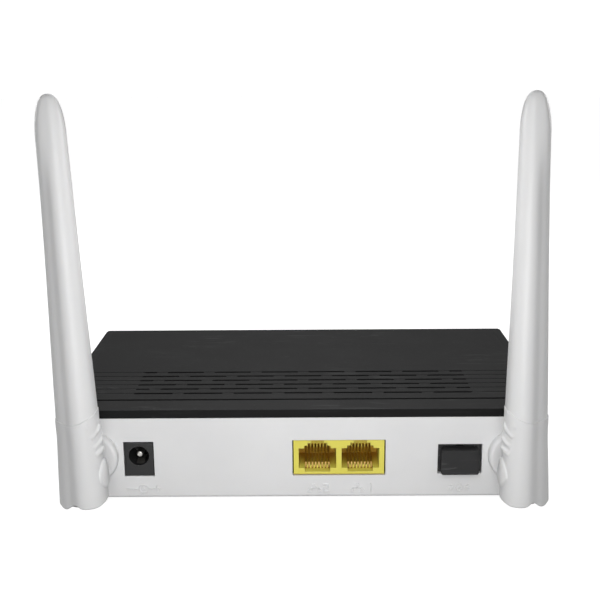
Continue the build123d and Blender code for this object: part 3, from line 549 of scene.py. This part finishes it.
FINISHES = {
    "white_plastic": MouldedPlastic(
        "white_housing_plastic", (0.745, 0.745, 0.747), (0.72, 0.72, 0.722), roughness=0.5, glow=0.04,
        scuffs=0.2, edge_lift=0.35,
    ),
    "antenna_plastic": MouldedPlastic(
        "satin_antenna_plastic", (0.68, 0.68, 0.681), (0.665, 0.665, 0.666), roughness=0.42,
        grain=0.00025, grain_depth=0.000003, glow=0.05, scuffs=0.15, edge_lift=0.1,
    ),
    "charcoal_plastic": MouldedPlastic(
        "charcoal_cover_plastic", (0.029, 0.029, 0.0292), (0.032, 0.032, 0.0322), roughness=0.68,
        # the cover's upright walls carry painted shade
        grain=0.0004, grain_depth=0.000012, edge_lift=0.04, scuffs=0.2, dust=0.04, specular=0.08, painted_upright_shade=0.74,
    ),
    "yellow_plastic": MouldedPlastic(
        "yellow_socket_plastic", (0.76, 0.69, 0.12), (0.73, 0.65, 0.1), roughness=0.42, grain=0.0002,
        grain_depth=0.000002, glow=0.05, glow_scale=0.0006, scuffs=0.1, edge_lift=0.08,
        # the socket's openings carry painted shade deep inside
        painted_hollow_shade=(0.46, 0.21, 0.006), specular=0.3,
    ),
    "black_plastic": MouldedPlastic(
        "black_socket_plastic", (0.016, 0.016, 0.0165), (0.019, 0.019, 0.0195), specular=0.28,
        roughness=0.45, grain=0.0002, grain_depth=0.000003, edge_lift=0.1, scuffs=0.3,
    ),
    "cap_rubber": MouldedPlastic(
        "dust_cap_rubber", (0.016, 0.016, 0.0165), (0.02, 0.02, 0.0205), roughness=0.5,
        grain=0.0003, grain_depth=0.000006, edge_lift=0.05, scuffs=0.3, dust=0.08, specular=0.2,
    ),
    "foot_rubber": MouldedPlastic(
        "foot_rubber", (0.025, 0.025, 0.026), (0.045, 0.045, 0.045), roughness=0.75, grain=0.0003,
        grain_depth=0.00001, scuffs=0.5, sheen=0.2,
    ),
    "chip_epoxy": MouldedPlastic(
        "chip_epoxy", (0.02, 0.02, 0.021), (0.028, 0.028, 0.029), roughness=0.6,
    ),
    "ferrite": MouldedPlastic(
        "ferrite_core", (0.06, 0.058, 0.056), (0.045, 0.044, 0.043), roughness=0.7,
    ),
    "switch_plastic": MouldedPlastic(
        "switch_plastic", (0.03, 0.03, 0.03), (0.05, 0.05, 0.05), roughness=0.5,
    ),
    "capacitor_sleeve": MouldedPlastic(
        "capacitor_sleeve", (0.02, 0.03, 0.06), (0.03, 0.04, 0.08), roughness=0.35,
    ),
    "coax_jacket": MouldedPlastic(
        "lead_jacket", (0.03, 0.03, 0.03), (0.05, 0.05, 0.05), roughness=0.5,
    ),
    "clip_nylon": MouldedPlastic(
        "clip_nylon", (0.55, 0.53, 0.47), (0.5, 0.48, 0.42), roughness=0.5, glow=0.2,
    ),
    "clear_plastic": MouldedPlastic(
        "milky_light_guide", (0.62, 0.64, 0.66), (0.55, 0.57, 0.6), roughness=0.2, glow=0.5, glow_scale=0.002,
    ),
    "led_lens": MouldedPlastic(
        "lamp_lens", (0.7, 0.68, 0.45), (0.6, 0.58, 0.4), roughness=0.25, glow=0.3,
    ),
    "ceramic": MouldedPlastic(
        "ferrule_ceramic", (0.82, 0.81, 0.78), (0.78, 0.77, 0.74), roughness=0.15, scuffs=0.1,
    ),
    "element_board": CircuitLaminate("aerial_strip_laminate"),
    "solder_mask": CircuitLaminate("main_board_laminate"),
    "label_film": FilmLabel("rating_label_film"),
    "gold_contact": BareMetal(
        "gold_contact", (0.5, 0.33, 0.11), (0.4, 0.25, 0.09), roughness=0.38, brushing=(8, 1, 1),
    ),
    "nickel": BareMetal("nickel_plate", (0.42, 0.41, 0.39), (0.3, 0.29, 0.28), roughness=0.36),
    "tin_plate": BareMetal("tin_plate", (0.66, 0.66, 0.66), (0.5, 0.5, 0.5), roughness=0.35),
    "crystal_can": BareMetal("crystal_can", (0.68, 0.67, 0.64), (0.55, 0.54, 0.5), roughness=0.3),
    "anodised_aluminium": BareMetal(
        "anodised_fins", (0.09, 0.09, 0.1), (0.06, 0.06, 0.065), roughness=0.4,
    ),
    "zinc_steel": BareMetal("zinc_steel", (0.6, 0.6, 0.62), (0.45, 0.44, 0.42), roughness=0.35),
    "connector_brass": BareMetal(
        "connector_brass", (0.78, 0.6, 0.3), (0.6, 0.45, 0.22), roughness=0.3,
    ),
}


@dataclass
class Wardrobe:
    """Makes each finish once and dresses pieces with it."""

    made: dict[str, bpy.types.Material] = field(default_factory=dict)

    def material(self, slot: str) -> bpy.types.Material:
        """The material of one of the record's slots, made at its first use.

        Args:
            slot: the slot's name.

        Returns:
            The material.
        """
        if slot not in self.made:
            self.made[slot] = FINISHES[slot].make()
        return self.made[slot]

    def dress_node(self, node: bpy.types.Object) -> None:
        """Gives a frame node the finish of the slot that its packed material names.

        Args:
            node: the frame node.
        """
        for index, old in enumerate(list(node.data.materials)):
            slot = old.name.split(".")[0]
            node.data.materials[index] = self.material(slot)
        LOG.info("dressed %s", node.name)

    def dress_piece(self, piece: bpy.types.Object, slot: str) -> None:
        """Gives a new piece the finish of a slot.

        Args:
            piece: the new piece.
            slot: the slot's name.
        """
        piece.data.materials.clear()
        piece.data.materials.append(self.material(slot))
        LOG.info("made %s", piece.name)


# ------------------------------------------------------------------ mesh helpers


def closed_spline(points: np.ndarray, count: int) -> np.ndarray:
    """Samples the smooth closed curve through some points.

    Args:
        points: the points, one row each, in order round the curve.
        count: how many samples to return.

    Returns:
        The samples, one row each, evenly spread over the curve's own parameter.
    """
    size = len(points)
    gaps = np.linalg.norm(np.roll(points, -1, axis=0) - points, axis=1)
    before = np.roll(gaps, 1)
    system = np.zeros((size, size))
    for index in range(size):
        system[index, index] = 2 * (before[index] + gaps[index])
        system[index, (index - 1) % size] += before[index]
        system[index, (index + 1) % size] += gaps[index]
    ahead = (np.roll(points, -1, axis=0) - points) / gaps[:, None]
    behind = (points - np.roll(points, 1, axis=0)) / before[:, None]
    bend = np.linalg.solve(system, 6 * (ahead - behind))
    knots = np.concatenate([[0.0], np.cumsum(gaps)])
    places = np.linspace(0.0, knots[-1], count, endpoint=False)
    span = np.clip(np.searchsorted(knots, places, side="right") - 1, 0, size - 1)
    after = (span + 1) % size
    width = gaps[span][:, None]
    left = (knots[span + 1] - places)[:, None]
    right = (places - knots[span])[:, None]
    cubic = (bend[span] * left**3 + bend[after] * right**3) / (6 * width)
    from_left = (points[span] / width - bend[span] * width / 6) * left
    from_right = (points[after] / width - bend[after] * width / 6) * right
    return cubic + (from_left + from_right)


def skin(name: str, rows: np.ndarray) -> bpy.types.Object:
    """Makes a closed tube-like mesh from rings of points.

    Args:
        name: the new object's name.
        rows: rings of points as an array of ring, point and coordinate, in metres.

    Returns:
        The new object, smooth shaded.
    """
    rings, count = rows.shape[:2]
    faces: list[tuple[int, ...]] = []
    for ring in range(rings - 1):
        for point in range(count):
            after = (point + 1) % count
            low, high = ring * count, (ring + 1) * count
            faces.append((low + point, low + after, high + after, high + point))
    faces.append(tuple(range(count - 1, -1, -1)))
    faces.append(tuple((rings - 1) * count + point for point in range(count)))
    mesh = bpy.data.meshes.new(name)
    mesh.from_pydata(rows.reshape(-1, 3).tolist(), [], faces)
    mesh.update()
    mesh.shade_smooth()
    piece = bpy.data.objects.new(name, mesh)
    bpy.context.scene.collection.objects.link(piece)
    return piece


def prism(
    name: str, outline: list[tuple[float, float]], low: float, high: float, place: Matrix
) -> bpy.types.Object:
    """Extrudes a flat outline of local y and z between two values of local x.

    Args:
        name: the new object's name.
        outline: corners of the outline, in millimetres.
        low: local x where it starts, in millimetres.
        high: local x where it ends, in millimetres.
        place: matrix from local millimetres to the row frame in metres.

    Returns:
        The new object.
    """
    count = len(outline)
    corners = [place @ Vector((x, y, z)) for x in (low, high) for y, z in outline]
    faces: list[tuple[int, ...]] = [tuple(range(count - 1, -1, -1)), tuple(range(count, 2 * count))]
    faces += [(i, (i + 1) % count, count + (i + 1) % count, count + i) for i in range(count)]
    mesh = bpy.data.meshes.new(name)
    mesh.from_pydata(corners, [], faces)
    mesh.update()
    piece = bpy.data.objects.new(name, mesh)
    bpy.context.scene.collection.objects.link(piece)
    return piece


def carve(piece: bpy.types.Object, cutter: bpy.types.Object) -> None:
    """Cuts one object out of another and removes the cutter.

    Args:
        piece: the object to cut.
        cutter: the closed object to take away.
    """
    cut = piece.modifiers.new("cut", "BOOLEAN")
    cut.operation = "DIFFERENCE"
    cut.solver = "EXACT"
    cut.object = cutter
    graph = bpy.context.evaluated_depsgraph_get()
    mesh = bpy.data.meshes.new_from_object(piece.evaluated_get(graph))
    piece.modifiers.clear()
    piece.data = mesh
    bpy.data.objects.remove(cutter)


def smooth_by_angle(piece: bpy.types.Object, degrees: float) -> None:
    """Shades smooth, apart from edges sharper than an angle."""
    piece.data.shade_smooth()
    piece.data.set_sharp_from_angle(angle=radians(degrees))


# ------------------------------------------------------------------ sub-assemblies


@dataclass
class Antenna:
    """One antenna: its base with ribs and knuckle, and the long sheath over it.

    All measures are in millimetres from the hinge, and angles in degrees.
    """

    side: Side
    lean: float = -1.2
    hinge: Triple = (64.6, -47.75, 15.5)
    # points round the form, rings of the base, of the sheath's straight part and of its tip
    around: int = 200
    base_rings: int = 160
    sheath_rings: int = 200
    tip_rings: int = 60
    # heights sampled before rings are laid between them
    samples: int = 600
    # domed tip: where it starts, where it ends, how square it is
    tip_start: float = 97.0
    tip_end: float = 109.86
    tip_power: float = 2.4
    # share of the sheath's height that takes the straight part's rings
    tip_share: float = 0.93
    # the outer strip's setback fades out: how far below the tip it starts, over what length
    fade_drop: float = 16.0
    fade_length: float = 20.0
    # at the seam: gap below it, how far the sheath tucks in, how far and how tall the base swells
    seam_gap: float = 0.02
    tuck: float = 0.09
    ledge: float = 0.22
    ledge_height: float = 4.0
    # the base's upper rim: how far it draws in and rises
    rim_inset: float = 0.3
    rim_rise: float = 0.1
    # height over the hinge, width, front face, back face, setback of the outer strip
    stations: tuple = (
        (-9.6, 14.5, 8.98, 3.0, 2.6), (-7.4, 14.3, 8.98, 3.0, 2.6), (0.0, 13.7, 8.9, 3.0, 2.5),
        (12.0, 12.5, 8.7, 2.7, 2.3), (30.0, 11.5, 8.4, 2.2, 2.0), (60.0, 9.8, 7.9, 1.4, 1.7),
        (97.0, 8.1, 7.3, 0.5, 1.2),
    )
    # ribs on the inner front corner: start and end as outward x, y and height, then half width and height
    ribs: tuple = (
        ((-5.5, -3.0, 17.9), (-3.5, -7.9, 16.7)), ((-6.3, -3.0, 15.9), (-4.3, -7.3, 13.6)),
        ((-6.2, -3.0, 11.9), (-4.9, -6.9, 10.5)), ((-6.3, -3.0, 8.9), (-5.4, -6.7, 8.2)),
    )
    rib_width: float = 0.42
    rib_height: float = 0.42
    rib_spread: float = 1.9
    rib_taper: float = 0.25
    # round knuckle: centre and half size in depth and height, then its rise
    knuckle_centre: tuple = (-2.6, 1.2)
    knuckle_size: tuple = (4.0, 4.3)
    knuckle_rise: float = 1.0
    # seam: mean level, lowest level, where across, slopes to either side, softness of the dip
    seam_level: float = 19.0
    seam_low: float = 18.1
    seam_middle: float = 1.2
    seam_outer: float = 0.26
    seam_inner: float = 0.62
    seam_bend: float = 2.2
    # lower end: mean level, inner level, drop of the outer fin, where and how softly it starts
    end_mean: float = -8.0
    end_level: float = -7.75
    fin_drop: float = 1.5
    fin_start: float = 3.7
    fin_softness: float = 0.6
    # bumps of the lower end: height, place across, half width
    end_bumps: tuple = ((0.95, 1.7, 1.6), (0.5, -7.2, 1.4), (0.75, 7.2, 1.1))
    # flare of the inner side: rise, then middle and half size in height and in depth
    flare_rise: float = 0.45
    flare_height: tuple = (11.0, 4.5)
    flare_depth: tuple = (-1.5, 3.5)
    # rounding of the lower end: radius and number of rings
    end_rounding: float = 0.7
    rim_steps: int = 5
    # slot for the stub's lug: half width, radius, how low and how far back it opens, its upper lip
    slot_half: float = 2.7
    slot_radius: float = 5.35
    slot_drop: float = 16.0
    slot_back: float = 14.0
    slot_lip: float = 1.83

    @property
    def place(self) -> Matrix:
        """Where the antenna stands.

        Returns:
            Matrix from millimetres at the hinge to metres in the row frame.
        """
        tilt = radians(self.lean)
        x, y, z = self.hinge
        turn = Matrix(((cos(tilt), 0, sin(tilt)), (0, 1, 0), (-sin(tilt), 0, cos(tilt))))
        move = Matrix.Translation(Vector((self.side.value * x, y, z)) * MM)
        return move @ turn.to_4x4() @ Matrix.Scale(MM, 4)

    def measures(self, height: np.ndarray) -> np.ndarray:
        """Width, front, back and setback at some heights, smooth between the stations.

        Args:
            height: heights over the hinge in millimetres.

        Returns:
            One row of four values for each height.
        """
        table = np.array(self.stations)
        known, values = table[:, 0], table[:, 1:]
        slopes = np.gradient(values, known, axis=0)
        span = np.clip(np.searchsorted(known, height, side="right") - 1, 0, len(known) - 2)
        step = known[span + 1] - known[span]
        t = np.clip((height - known[span]) / step, 0.0, 1.0)[:, None]
        step = step[:, None]
        mixed = (
            (2 * t**3 - 3 * t**2 + 1) * values[span] + (t**3 - 2 * t**2 + t) * step * slopes[span]
            + (3 * t**2 - 2 * t**3) * values[span + 1] + (t**3 - t**2) * step * slopes[span + 1]
        )
        over = np.clip((height - self.tip_start) / (self.tip_end - self.tip_start), 0.0, 0.99999)
        shrink = ((1 - over**self.tip_power) ** (1 / self.tip_power))[:, None]
        faded = (height - self.tip_start + self.fade_drop) / self.fade_length
        fade = (1 - np.clip(faded, 0.0, 1.0))[:, None]
        centre = (mixed[:, 2:3] - mixed[:, 1:2]) / 2
        half = (mixed[:, 2:3] + mixed[:, 1:2]) / 2 * shrink
        setback = mixed[:, 3:] * (fade**2 * (3 - 2 * fade)) * shrink
        return np.hstack([mixed[:, :1] * shrink, half - centre, half + centre, setback])

    def section(self, width: float, front: float, back: float, setback: float) -> np.ndarray:
        """One closed section of the form.

        Args:
            width: full width in millimetres.
            front: how far the front face lies before the hinge.
            back: how far the back face lies behind it.
            setback: how far the outer strip falls back.

        Returns:
            Points as outward x and y in millimetres.
        """
        half, mid, thick = width / 2, (back - front) / 2, (back + front) / 2
        points = np.array([
            (1.00 * half, mid), (0.82 * half, 0.32 * thick + 0.92 * setback - front),
            (0.62 * half, 0.14 * thick + 0.92 * setback - front),
            (0.38 * half, 0.06 * thick + 0.70 * setback - front),
            (0.06 * half, 0.02 * thick + 0.11 * setback - front), (-0.30 * half, 0.03 - front),
            (-0.78 * half, mid - 0.74 * thick), (-1.00 * half, mid), (-0.80 * half, mid + 0.80 * thick),
            (0.0, back), (0.80 * half, mid + 0.80 * thick),
        ])
        return closed_spline(points, self.around)

    def seam(self, out: np.ndarray) -> np.ndarray:
        """Height of the seam between base and sheath, lowest just outside the middle.

        Args:
            out: places across the form, outward from the hinge.

        Returns:
            One height for each place.
        """
        beyond = out - self.seam_middle
        up = np.where(beyond > 0, self.seam_outer, -self.seam_inner) * beyond
        return self.seam_low + np.sqrt(up**2 + self.seam_bend**2) - self.seam_bend

    def lower_end(self, out: np.ndarray) -> np.ndarray:
        """Height of the scalloped lower end: level inside, a little raised in the middle, lower outside.

        Args:
            out: places across the form, outward from the hinge.

        Returns:
            One height for each place.
        """
        fin = 1 / (1 + np.exp(-(out - self.fin_start) / self.fin_softness))
        bumps = sum(rise * np.exp(-(((out - middle) / half) ** 2)) for rise, middle, half in self.end_bumps)
        return self.end_level + bumps - self.fin_drop * fin

    def surface(self, low: np.ndarray, high: np.ndarray, steps: np.ndarray) -> np.ndarray:
        """Rings of points between two heights that vary round the form.

        Args:
            low: height of the first ring at every point round the form.
            high: height of the last ring at every point.
            steps: share of the way up of every ring.

        Returns:
            Rings as outward x, y and height in millimetres.
        """
        heights = np.linspace(self.stations[0][0], self.tip_end, self.samples)
        fine = 1 - (1 - np.linspace(0, 1, self.samples)) ** 2
        tip = self.tip_start + (self.tip_end - self.tip_start) * fine
        heights = np.sort(np.concatenate([heights, tip]))
        stack = np.array([self.section(*row) for row in self.measures(heights)])
        rings = []
        for step in steps:
            wanted = low + (high - low) * step
            index = np.searchsorted(heights, wanted, side="right") - 1
            index = np.clip(index, 0, len(heights) - 2)
            gap = heights[index + 1] - heights[index]
            share = ((wanted - heights[index]) / np.where(gap > 0, gap, 1.0))[:, None]
            points = np.arange(self.around)
            flat = stack[index, points] * (1 - share) + stack[index + 1, points] * share
            rings.append(np.column_stack([flat, wanted]))
        return np.array(rings)

    def boundary(self, curve: Curve) -> np.ndarray:
        """Height of the seam or the lower end round the form.

        Args:
            curve: which of the two.

        Returns:
            One height for each point of a section.
        """
        level = self.seam_level if curve is Curve.SEAM else self.end_mean
        out = self.section(*self.measures(np.array([level]))[0])[:, 0]
        return self.seam(out) if curve is Curve.SEAM else self.lower_end(out)

    @staticmethod
    def normals(rings: np.ndarray) -> np.ndarray:
        """Outward directions of a stack of rings, flat in each ring.

        Args:
            rings: the rings.

        Returns:
            One unit vector for each point.
        """
        along = np.roll(rings, -1, axis=1) - np.roll(rings, 1, axis=1)
        outward = np.stack([-along[..., 1], along[..., 0], np.zeros(along.shape[:2])], axis=-1)
        return outward / np.linalg.norm(outward, axis=-1, keepdims=True)

    def add_ribs(self, rings: np.ndarray) -> np.ndarray:
        """Raises the four short ribs, the round knuckle and the flare on the inner side of the base.

        Args:
            rings: the base's rings.

        Returns:
            The rings with their points moved outward.
        """
        outward = self.normals(rings)
        rise = np.zeros(rings.shape[:2])
        for start, end in self.ribs:
            first, run = np.array(start), np.array(end) - np.array(start)
            share = np.clip(((rings - first) @ run) / (run @ run), 0.0, 1.0)
            away = np.linalg.norm(rings - (first + share[..., None] * run), axis=-1)
            taper = np.clip((1.0 - share) / self.rib_taper, 0.0, 1.0) ** 0.5
            ridge = np.exp(-((away / (self.rib_width * self.rib_spread)) ** 4))
            rise = np.maximum(rise, self.rib_height * taper * ridge)
        y, z = self.knuckle_centre
        across, up = self.knuckle_size
        reach = ((rings[..., 1] - y) / across) ** 2 + ((rings[..., 2] - z) / up) ** 2
        inner = np.clip(-outward[..., 0], 0.0, 1.0)
        dome = self.knuckle_rise * np.clip(1 - reach, 0.0, 1.0) ** 0.4 * (inner > 0.2)
        flare = self.flare_rise * inner
        for axis, (middle, half) in ((2, self.flare_height), (1, self.flare_depth)):
            flare = flare * np.exp(-(((rings[..., axis] - middle) / half) ** 4))
        rise = np.maximum(rise * inner**0.3, dome)
        return rings + outward * (rise + flare)[..., None]

    def to_row(self, rings: np.ndarray) -> np.ndarray:
        """Brings local rings into the row frame, turning right-hand ones so that faces point out.

        Args:
            rings: rings in millimetres.

        Returns:
            The rings in metres.
        """
        local = rings * np.array([self.side.value, 1.0, 1.0])
        if self.side is Side.RIGHT:
            local = local[:, ::-1]
        matrix = np.array(self.place)
        return local @ matrix[:3, :3].T + matrix[:3, 3]

    def drawn_in(self, ring: np.ndarray, inset: float, height: float) -> np.ndarray:
        """Copies a ring drawn in and moved up, for rounded rims.

        Args:
            ring: the ring.
            inset: how far the copy is drawn in.
            height: how far it is moved up.

        Returns:
            The copy.
        """
        shifted = ring - self.normals(ring[None])[0] * inset
        shifted[:, 2] = ring[:, 2] + height
        return shifted

    def rim(self, ring: np.ndarray) -> np.ndarray:
        """Rings that round off the lower end.

        Args:
            ring: the outline at the very end.

        Returns:
            The rings, from the straight part outward.
        """
        radius = self.end_rounding
        angles = np.linspace(0.0, pi / 2, self.rim_steps + 1)[1:]
        moves = [(radius * (1 - cos(a)), radius * (1 - sin(a))) for a in angles]
        return np.array([self.drawn_in(ring, inset, height) for inset, height in moves])

    def build_sheath(self) -> bpy.types.Object:
        """Makes the long upper cover, from the seam to its domed tip.

        Returns:
            The new object.
        """
        low = self.boundary(Curve.SEAM) - self.tuck
        share = self.tip_share
        dome = share + (1 - share) * np.sin(np.linspace(0, pi / 2, self.tip_rings))[1:]
        steps = np.concatenate([np.linspace(0.0, share, self.sheath_rings), dome])
        rings = self.surface(low, np.full(self.around, self.tip_end), steps)
        piece = skin(f"sheath_{self.side.word}", self.to_row(rings))
        smooth_by_angle(piece, SMOOTH_ANGLE)
        return piece

    def build_base(self) -> bpy.types.Object:
        """Makes the lower part that turns on the hinge pin, with its slot for the stub's lug.

        Returns:
            The new object.
        """
        low = self.boundary(Curve.LOWER_END)
        high = self.boundary(Curve.SEAM) - self.seam_gap
        steps = np.linspace(0.0, 1.0, self.base_rings)
        rings = self.surface(low + self.end_rounding, high - self.rim_rise, steps)
        swell = np.exp(-(((high[None, :] - rings[..., 2]) / self.ledge_height) ** 2)) * self.ledge
        rings = rings + self.normals(rings) * swell[..., None]
        rings = self.add_ribs(rings)
        start, end = rings[0].copy(), rings[-1].copy()
        start[:, 2] -= self.end_rounding
        lower = self.rim(start)[::-1]
        upper = self.drawn_in(end, self.rim_inset, self.rim_rise)
        piece = skin(f"base_{self.side.word}", self.to_row(np.concatenate([lower, rings, upper[None]])))
        radius, drop, back = self.slot_radius, self.slot_drop, self.slot_back
        arc = [(radius * cos(a), radius * sin(a)) for a in np.linspace(radians(180), radians(20), 24)]
        slot = [(-radius, -drop), *arc, (back, self.slot_lip), (back, -drop)]
        carve(piece, prism("slot_cutter", slot, -self.slot_half, self.slot_half, self.place))
        smooth_by_angle(piece, SMOOTH_ANGLE)
        return piece

    def build(self, wardrobe: Wardrobe) -> None:
        """Makes both pieces, dresses them and hands them to the antenna's body.

        Args:
            wardrobe: where the finishes come from.
        """
        word = self.side.word
        for piece, node in ((self.build_base(), "base"), (self.build_sheath(), "sheath")):
            wardrobe.dress_piece(piece, "antenna_plastic")
            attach(piece, f"antenna_{word}")
            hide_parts(f"antenna_{node}_{word}")


@dataclass
class Studio:
    """Floor, backdrop, lamps and camera."""

    camera_place: Triple = (0.0012, -0.31375, 0.1352)
    lens: float = 58.5
    sensor: float = 36.0
    pitch: float = 14.21
    turn: float = -0.37
    roll: float = -0.44
    lamps: tuple = (
        # name, place, target, size, power in watts
        ("key_softbox", (0.0, -0.215, 0.20), (0.0, -0.03, 0.06), 0.16, 0.165),
        ("low_softbox", (0.0, -0.205, 0.05), (0.0, -0.04, 0.045), 0.12, 0.20),
        ("inner_left", (-0.004, -0.045, 0.10), (-0.065, -0.047, 0.06), 0.06, 0.010),
        ("inner_right", (0.004, -0.045, 0.10), (0.065, -0.047, 0.06), 0.06, 0.010),
        ("back_softbox", (0.0, 0.50, 0.36), (0.0, 0.05, 0.03), 0.40, 0.5),
        ("rim_left", (-0.55, 0.30, 0.22), (-0.06, -0.05, 0.06), 0.30, 1.2),
        ("rim_right", (0.55, 0.30, 0.22), (0.06, -0.05, 0.06), 0.30, 1.2),
    )
    # surround: level all round, what the top adds, what the two sides lose
    surround: float = 0.12
    surround_top: float = 0.24
    side_shade: float = 0.12
    # floor and backdrop: the floor's light, its gap under the feet, corners, radius, wall height
    floor_glow: float = 0.85
    clearance: float = 0.00005
    corners: int = 96
    reach: float = 3.0
    wall_height: float = 4.0

    def build_floor(self) -> None:
        """The pale floor with a hint of texture, and the white backdrop that rises round it."""
        count, reach = self.corners, self.reach
        circle = [(reach * cos(2 * pi * i / count), reach * sin(2 * pi * i / count)) for i in range(count)]
        mesh = bpy.data.meshes.new("studio_floor")
        sheet = [(x, y, -self.clearance) for x, y in circle]
        mesh.from_pydata(sheet, [], [tuple(range(count))])
        floor = bpy.data.objects.new("studio_floor", mesh)
        floor.visible_diffuse = False
        paint = Paint("pale_paper")
        fibre = paint.noise(0.002, 3.0)
        tone = fibre.between((0.56, 0.56, 0.56), (0.58, 0.58, 0.58))
        light = {"Specular IOR Level": 0.0, "Emission Color": WHITE}
        glow = {**light, "Emission Strength": self.floor_glow}
        mesh.materials.append(paint.finish(tone, 0.9, paint.relief(fibre, 0.00002), glow))
        wall_mesh = bpy.data.meshes.new("studio_backdrop")
        corners = [(x, y, z) for z in (0.0, self.wall_height) for x, y in circle]
        faces = [(i, (i + 1) % count, count + (i + 1) % count, count + i) for i in range(count)]
        wall_mesh.from_pydata(corners, [], faces)
        wall = bpy.data.objects.new("studio_backdrop", wall_mesh)
        for setting in ("visible_diffuse", "visible_glossy", "visible_shadow", "visible_transmission"):
            setattr(wall, setting, False)
        paper = Paint("white_backdrop")
        bright = {**light, "Emission Strength": 1.0}
        grain = paper.relief(paper.noise(0.01), 0.0001)
        wall_mesh.materials.append(paper.finish((0.5, 0.5, 0.5), 0.9, grain, bright))
        for piece in (floor, wall):
            bpy.context.scene.collection.objects.link(piece)

    def build_light(self) -> None:
        """Soft lamps, and a surround that is brighter above."""
        for name, place, target, size, power in self.lamps:
            lamp = bpy.data.lights.new(name, "AREA")
            lamp.shape = "DISK"
            lamp.size = size
            lamp.energy = power
            body = bpy.data.objects.new(name, lamp)
            body.visible_camera = False
            body.location = place
            body.rotation_euler = (Vector(target) - Vector(place)).to_track_quat("-Z", "Y").to_euler()
            bpy.context.scene.collection.objects.link(body)
        world = bpy.data.worlds.new("surround")
        bpy.context.scene.world = world
        world.use_nodes = True
        sky = Surround(world)
        height = sky.place.part(2).band(-0.2, 1.0)
        side = sky.place.part(0)
        level = height * self.surround_top + self.surround - side * side * self.side_shade
        sky.light(level)

    def build_camera(self) -> None:
        """The camera at the chosen viewing angle."""
        camera = bpy.data.cameras.new("camera")
        camera.lens = self.lens
        camera.sensor_width = self.sensor
        camera.clip_start = 0.01
        body = bpy.data.objects.new("camera", camera)
        bpy.context.scene.collection.objects.link(body)
        down, turn, roll = radians(self.pitch), radians(self.turn), radians(self.roll)
        ahead = Vector((sin(turn) * cos(down), cos(turn) * cos(down), -sin(down)))
        right = Vector((cos(turn), -sin(turn), 0.0))
        up = Vector((sin(turn) * sin(down), cos(turn) * sin(down), cos(down)))
        rolled_right = right * cos(roll) + up * sin(roll)
        rolled_up = up * cos(roll) - right * sin(roll)
        turned = Matrix((rolled_right, rolled_up, -ahead)).transposed().to_4x4()
        body.matrix_world = Matrix.Translation(self.camera_place) @ turned
        bpy.context.scene.camera = body

    def build(self) -> None:
        """Makes the whole studio."""
        self.build_camera()
        self.build_floor()
        self.build_light()
        bpy.context.scene.view_settings.view_transform = "Standard"
        LOG.info("studio ready")


@dataclass
class Housing:
    """All that keeps its own shape: the frame's nodes, apart from the antennas' shells."""

    replaced: tuple[str, ...] = ("antenna_base_", "antenna_sheath_")

    def dress(self, wardrobe: Wardrobe) -> None:
        """Gives every carried-over frame node its finish.

        Args:
            wardrobe: where the finishes come from.
        """
        for name, node in sorted(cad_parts.items()):
            if not name.startswith(self.replaced):
                wardrobe.dress_node(node)


def main() -> None:
    """Builds the studio, the housing's finishes and both antennas."""
    logging.basicConfig(level=logging.INFO, format="%(name)s: %(message)s")
    Studio().build()
    wardrobe = Wardrobe()
    Housing().dress(wardrobe)
    for side in Side:
        Antenna(side).build(wardrobe)


if __name__ == "__main__":
    main()
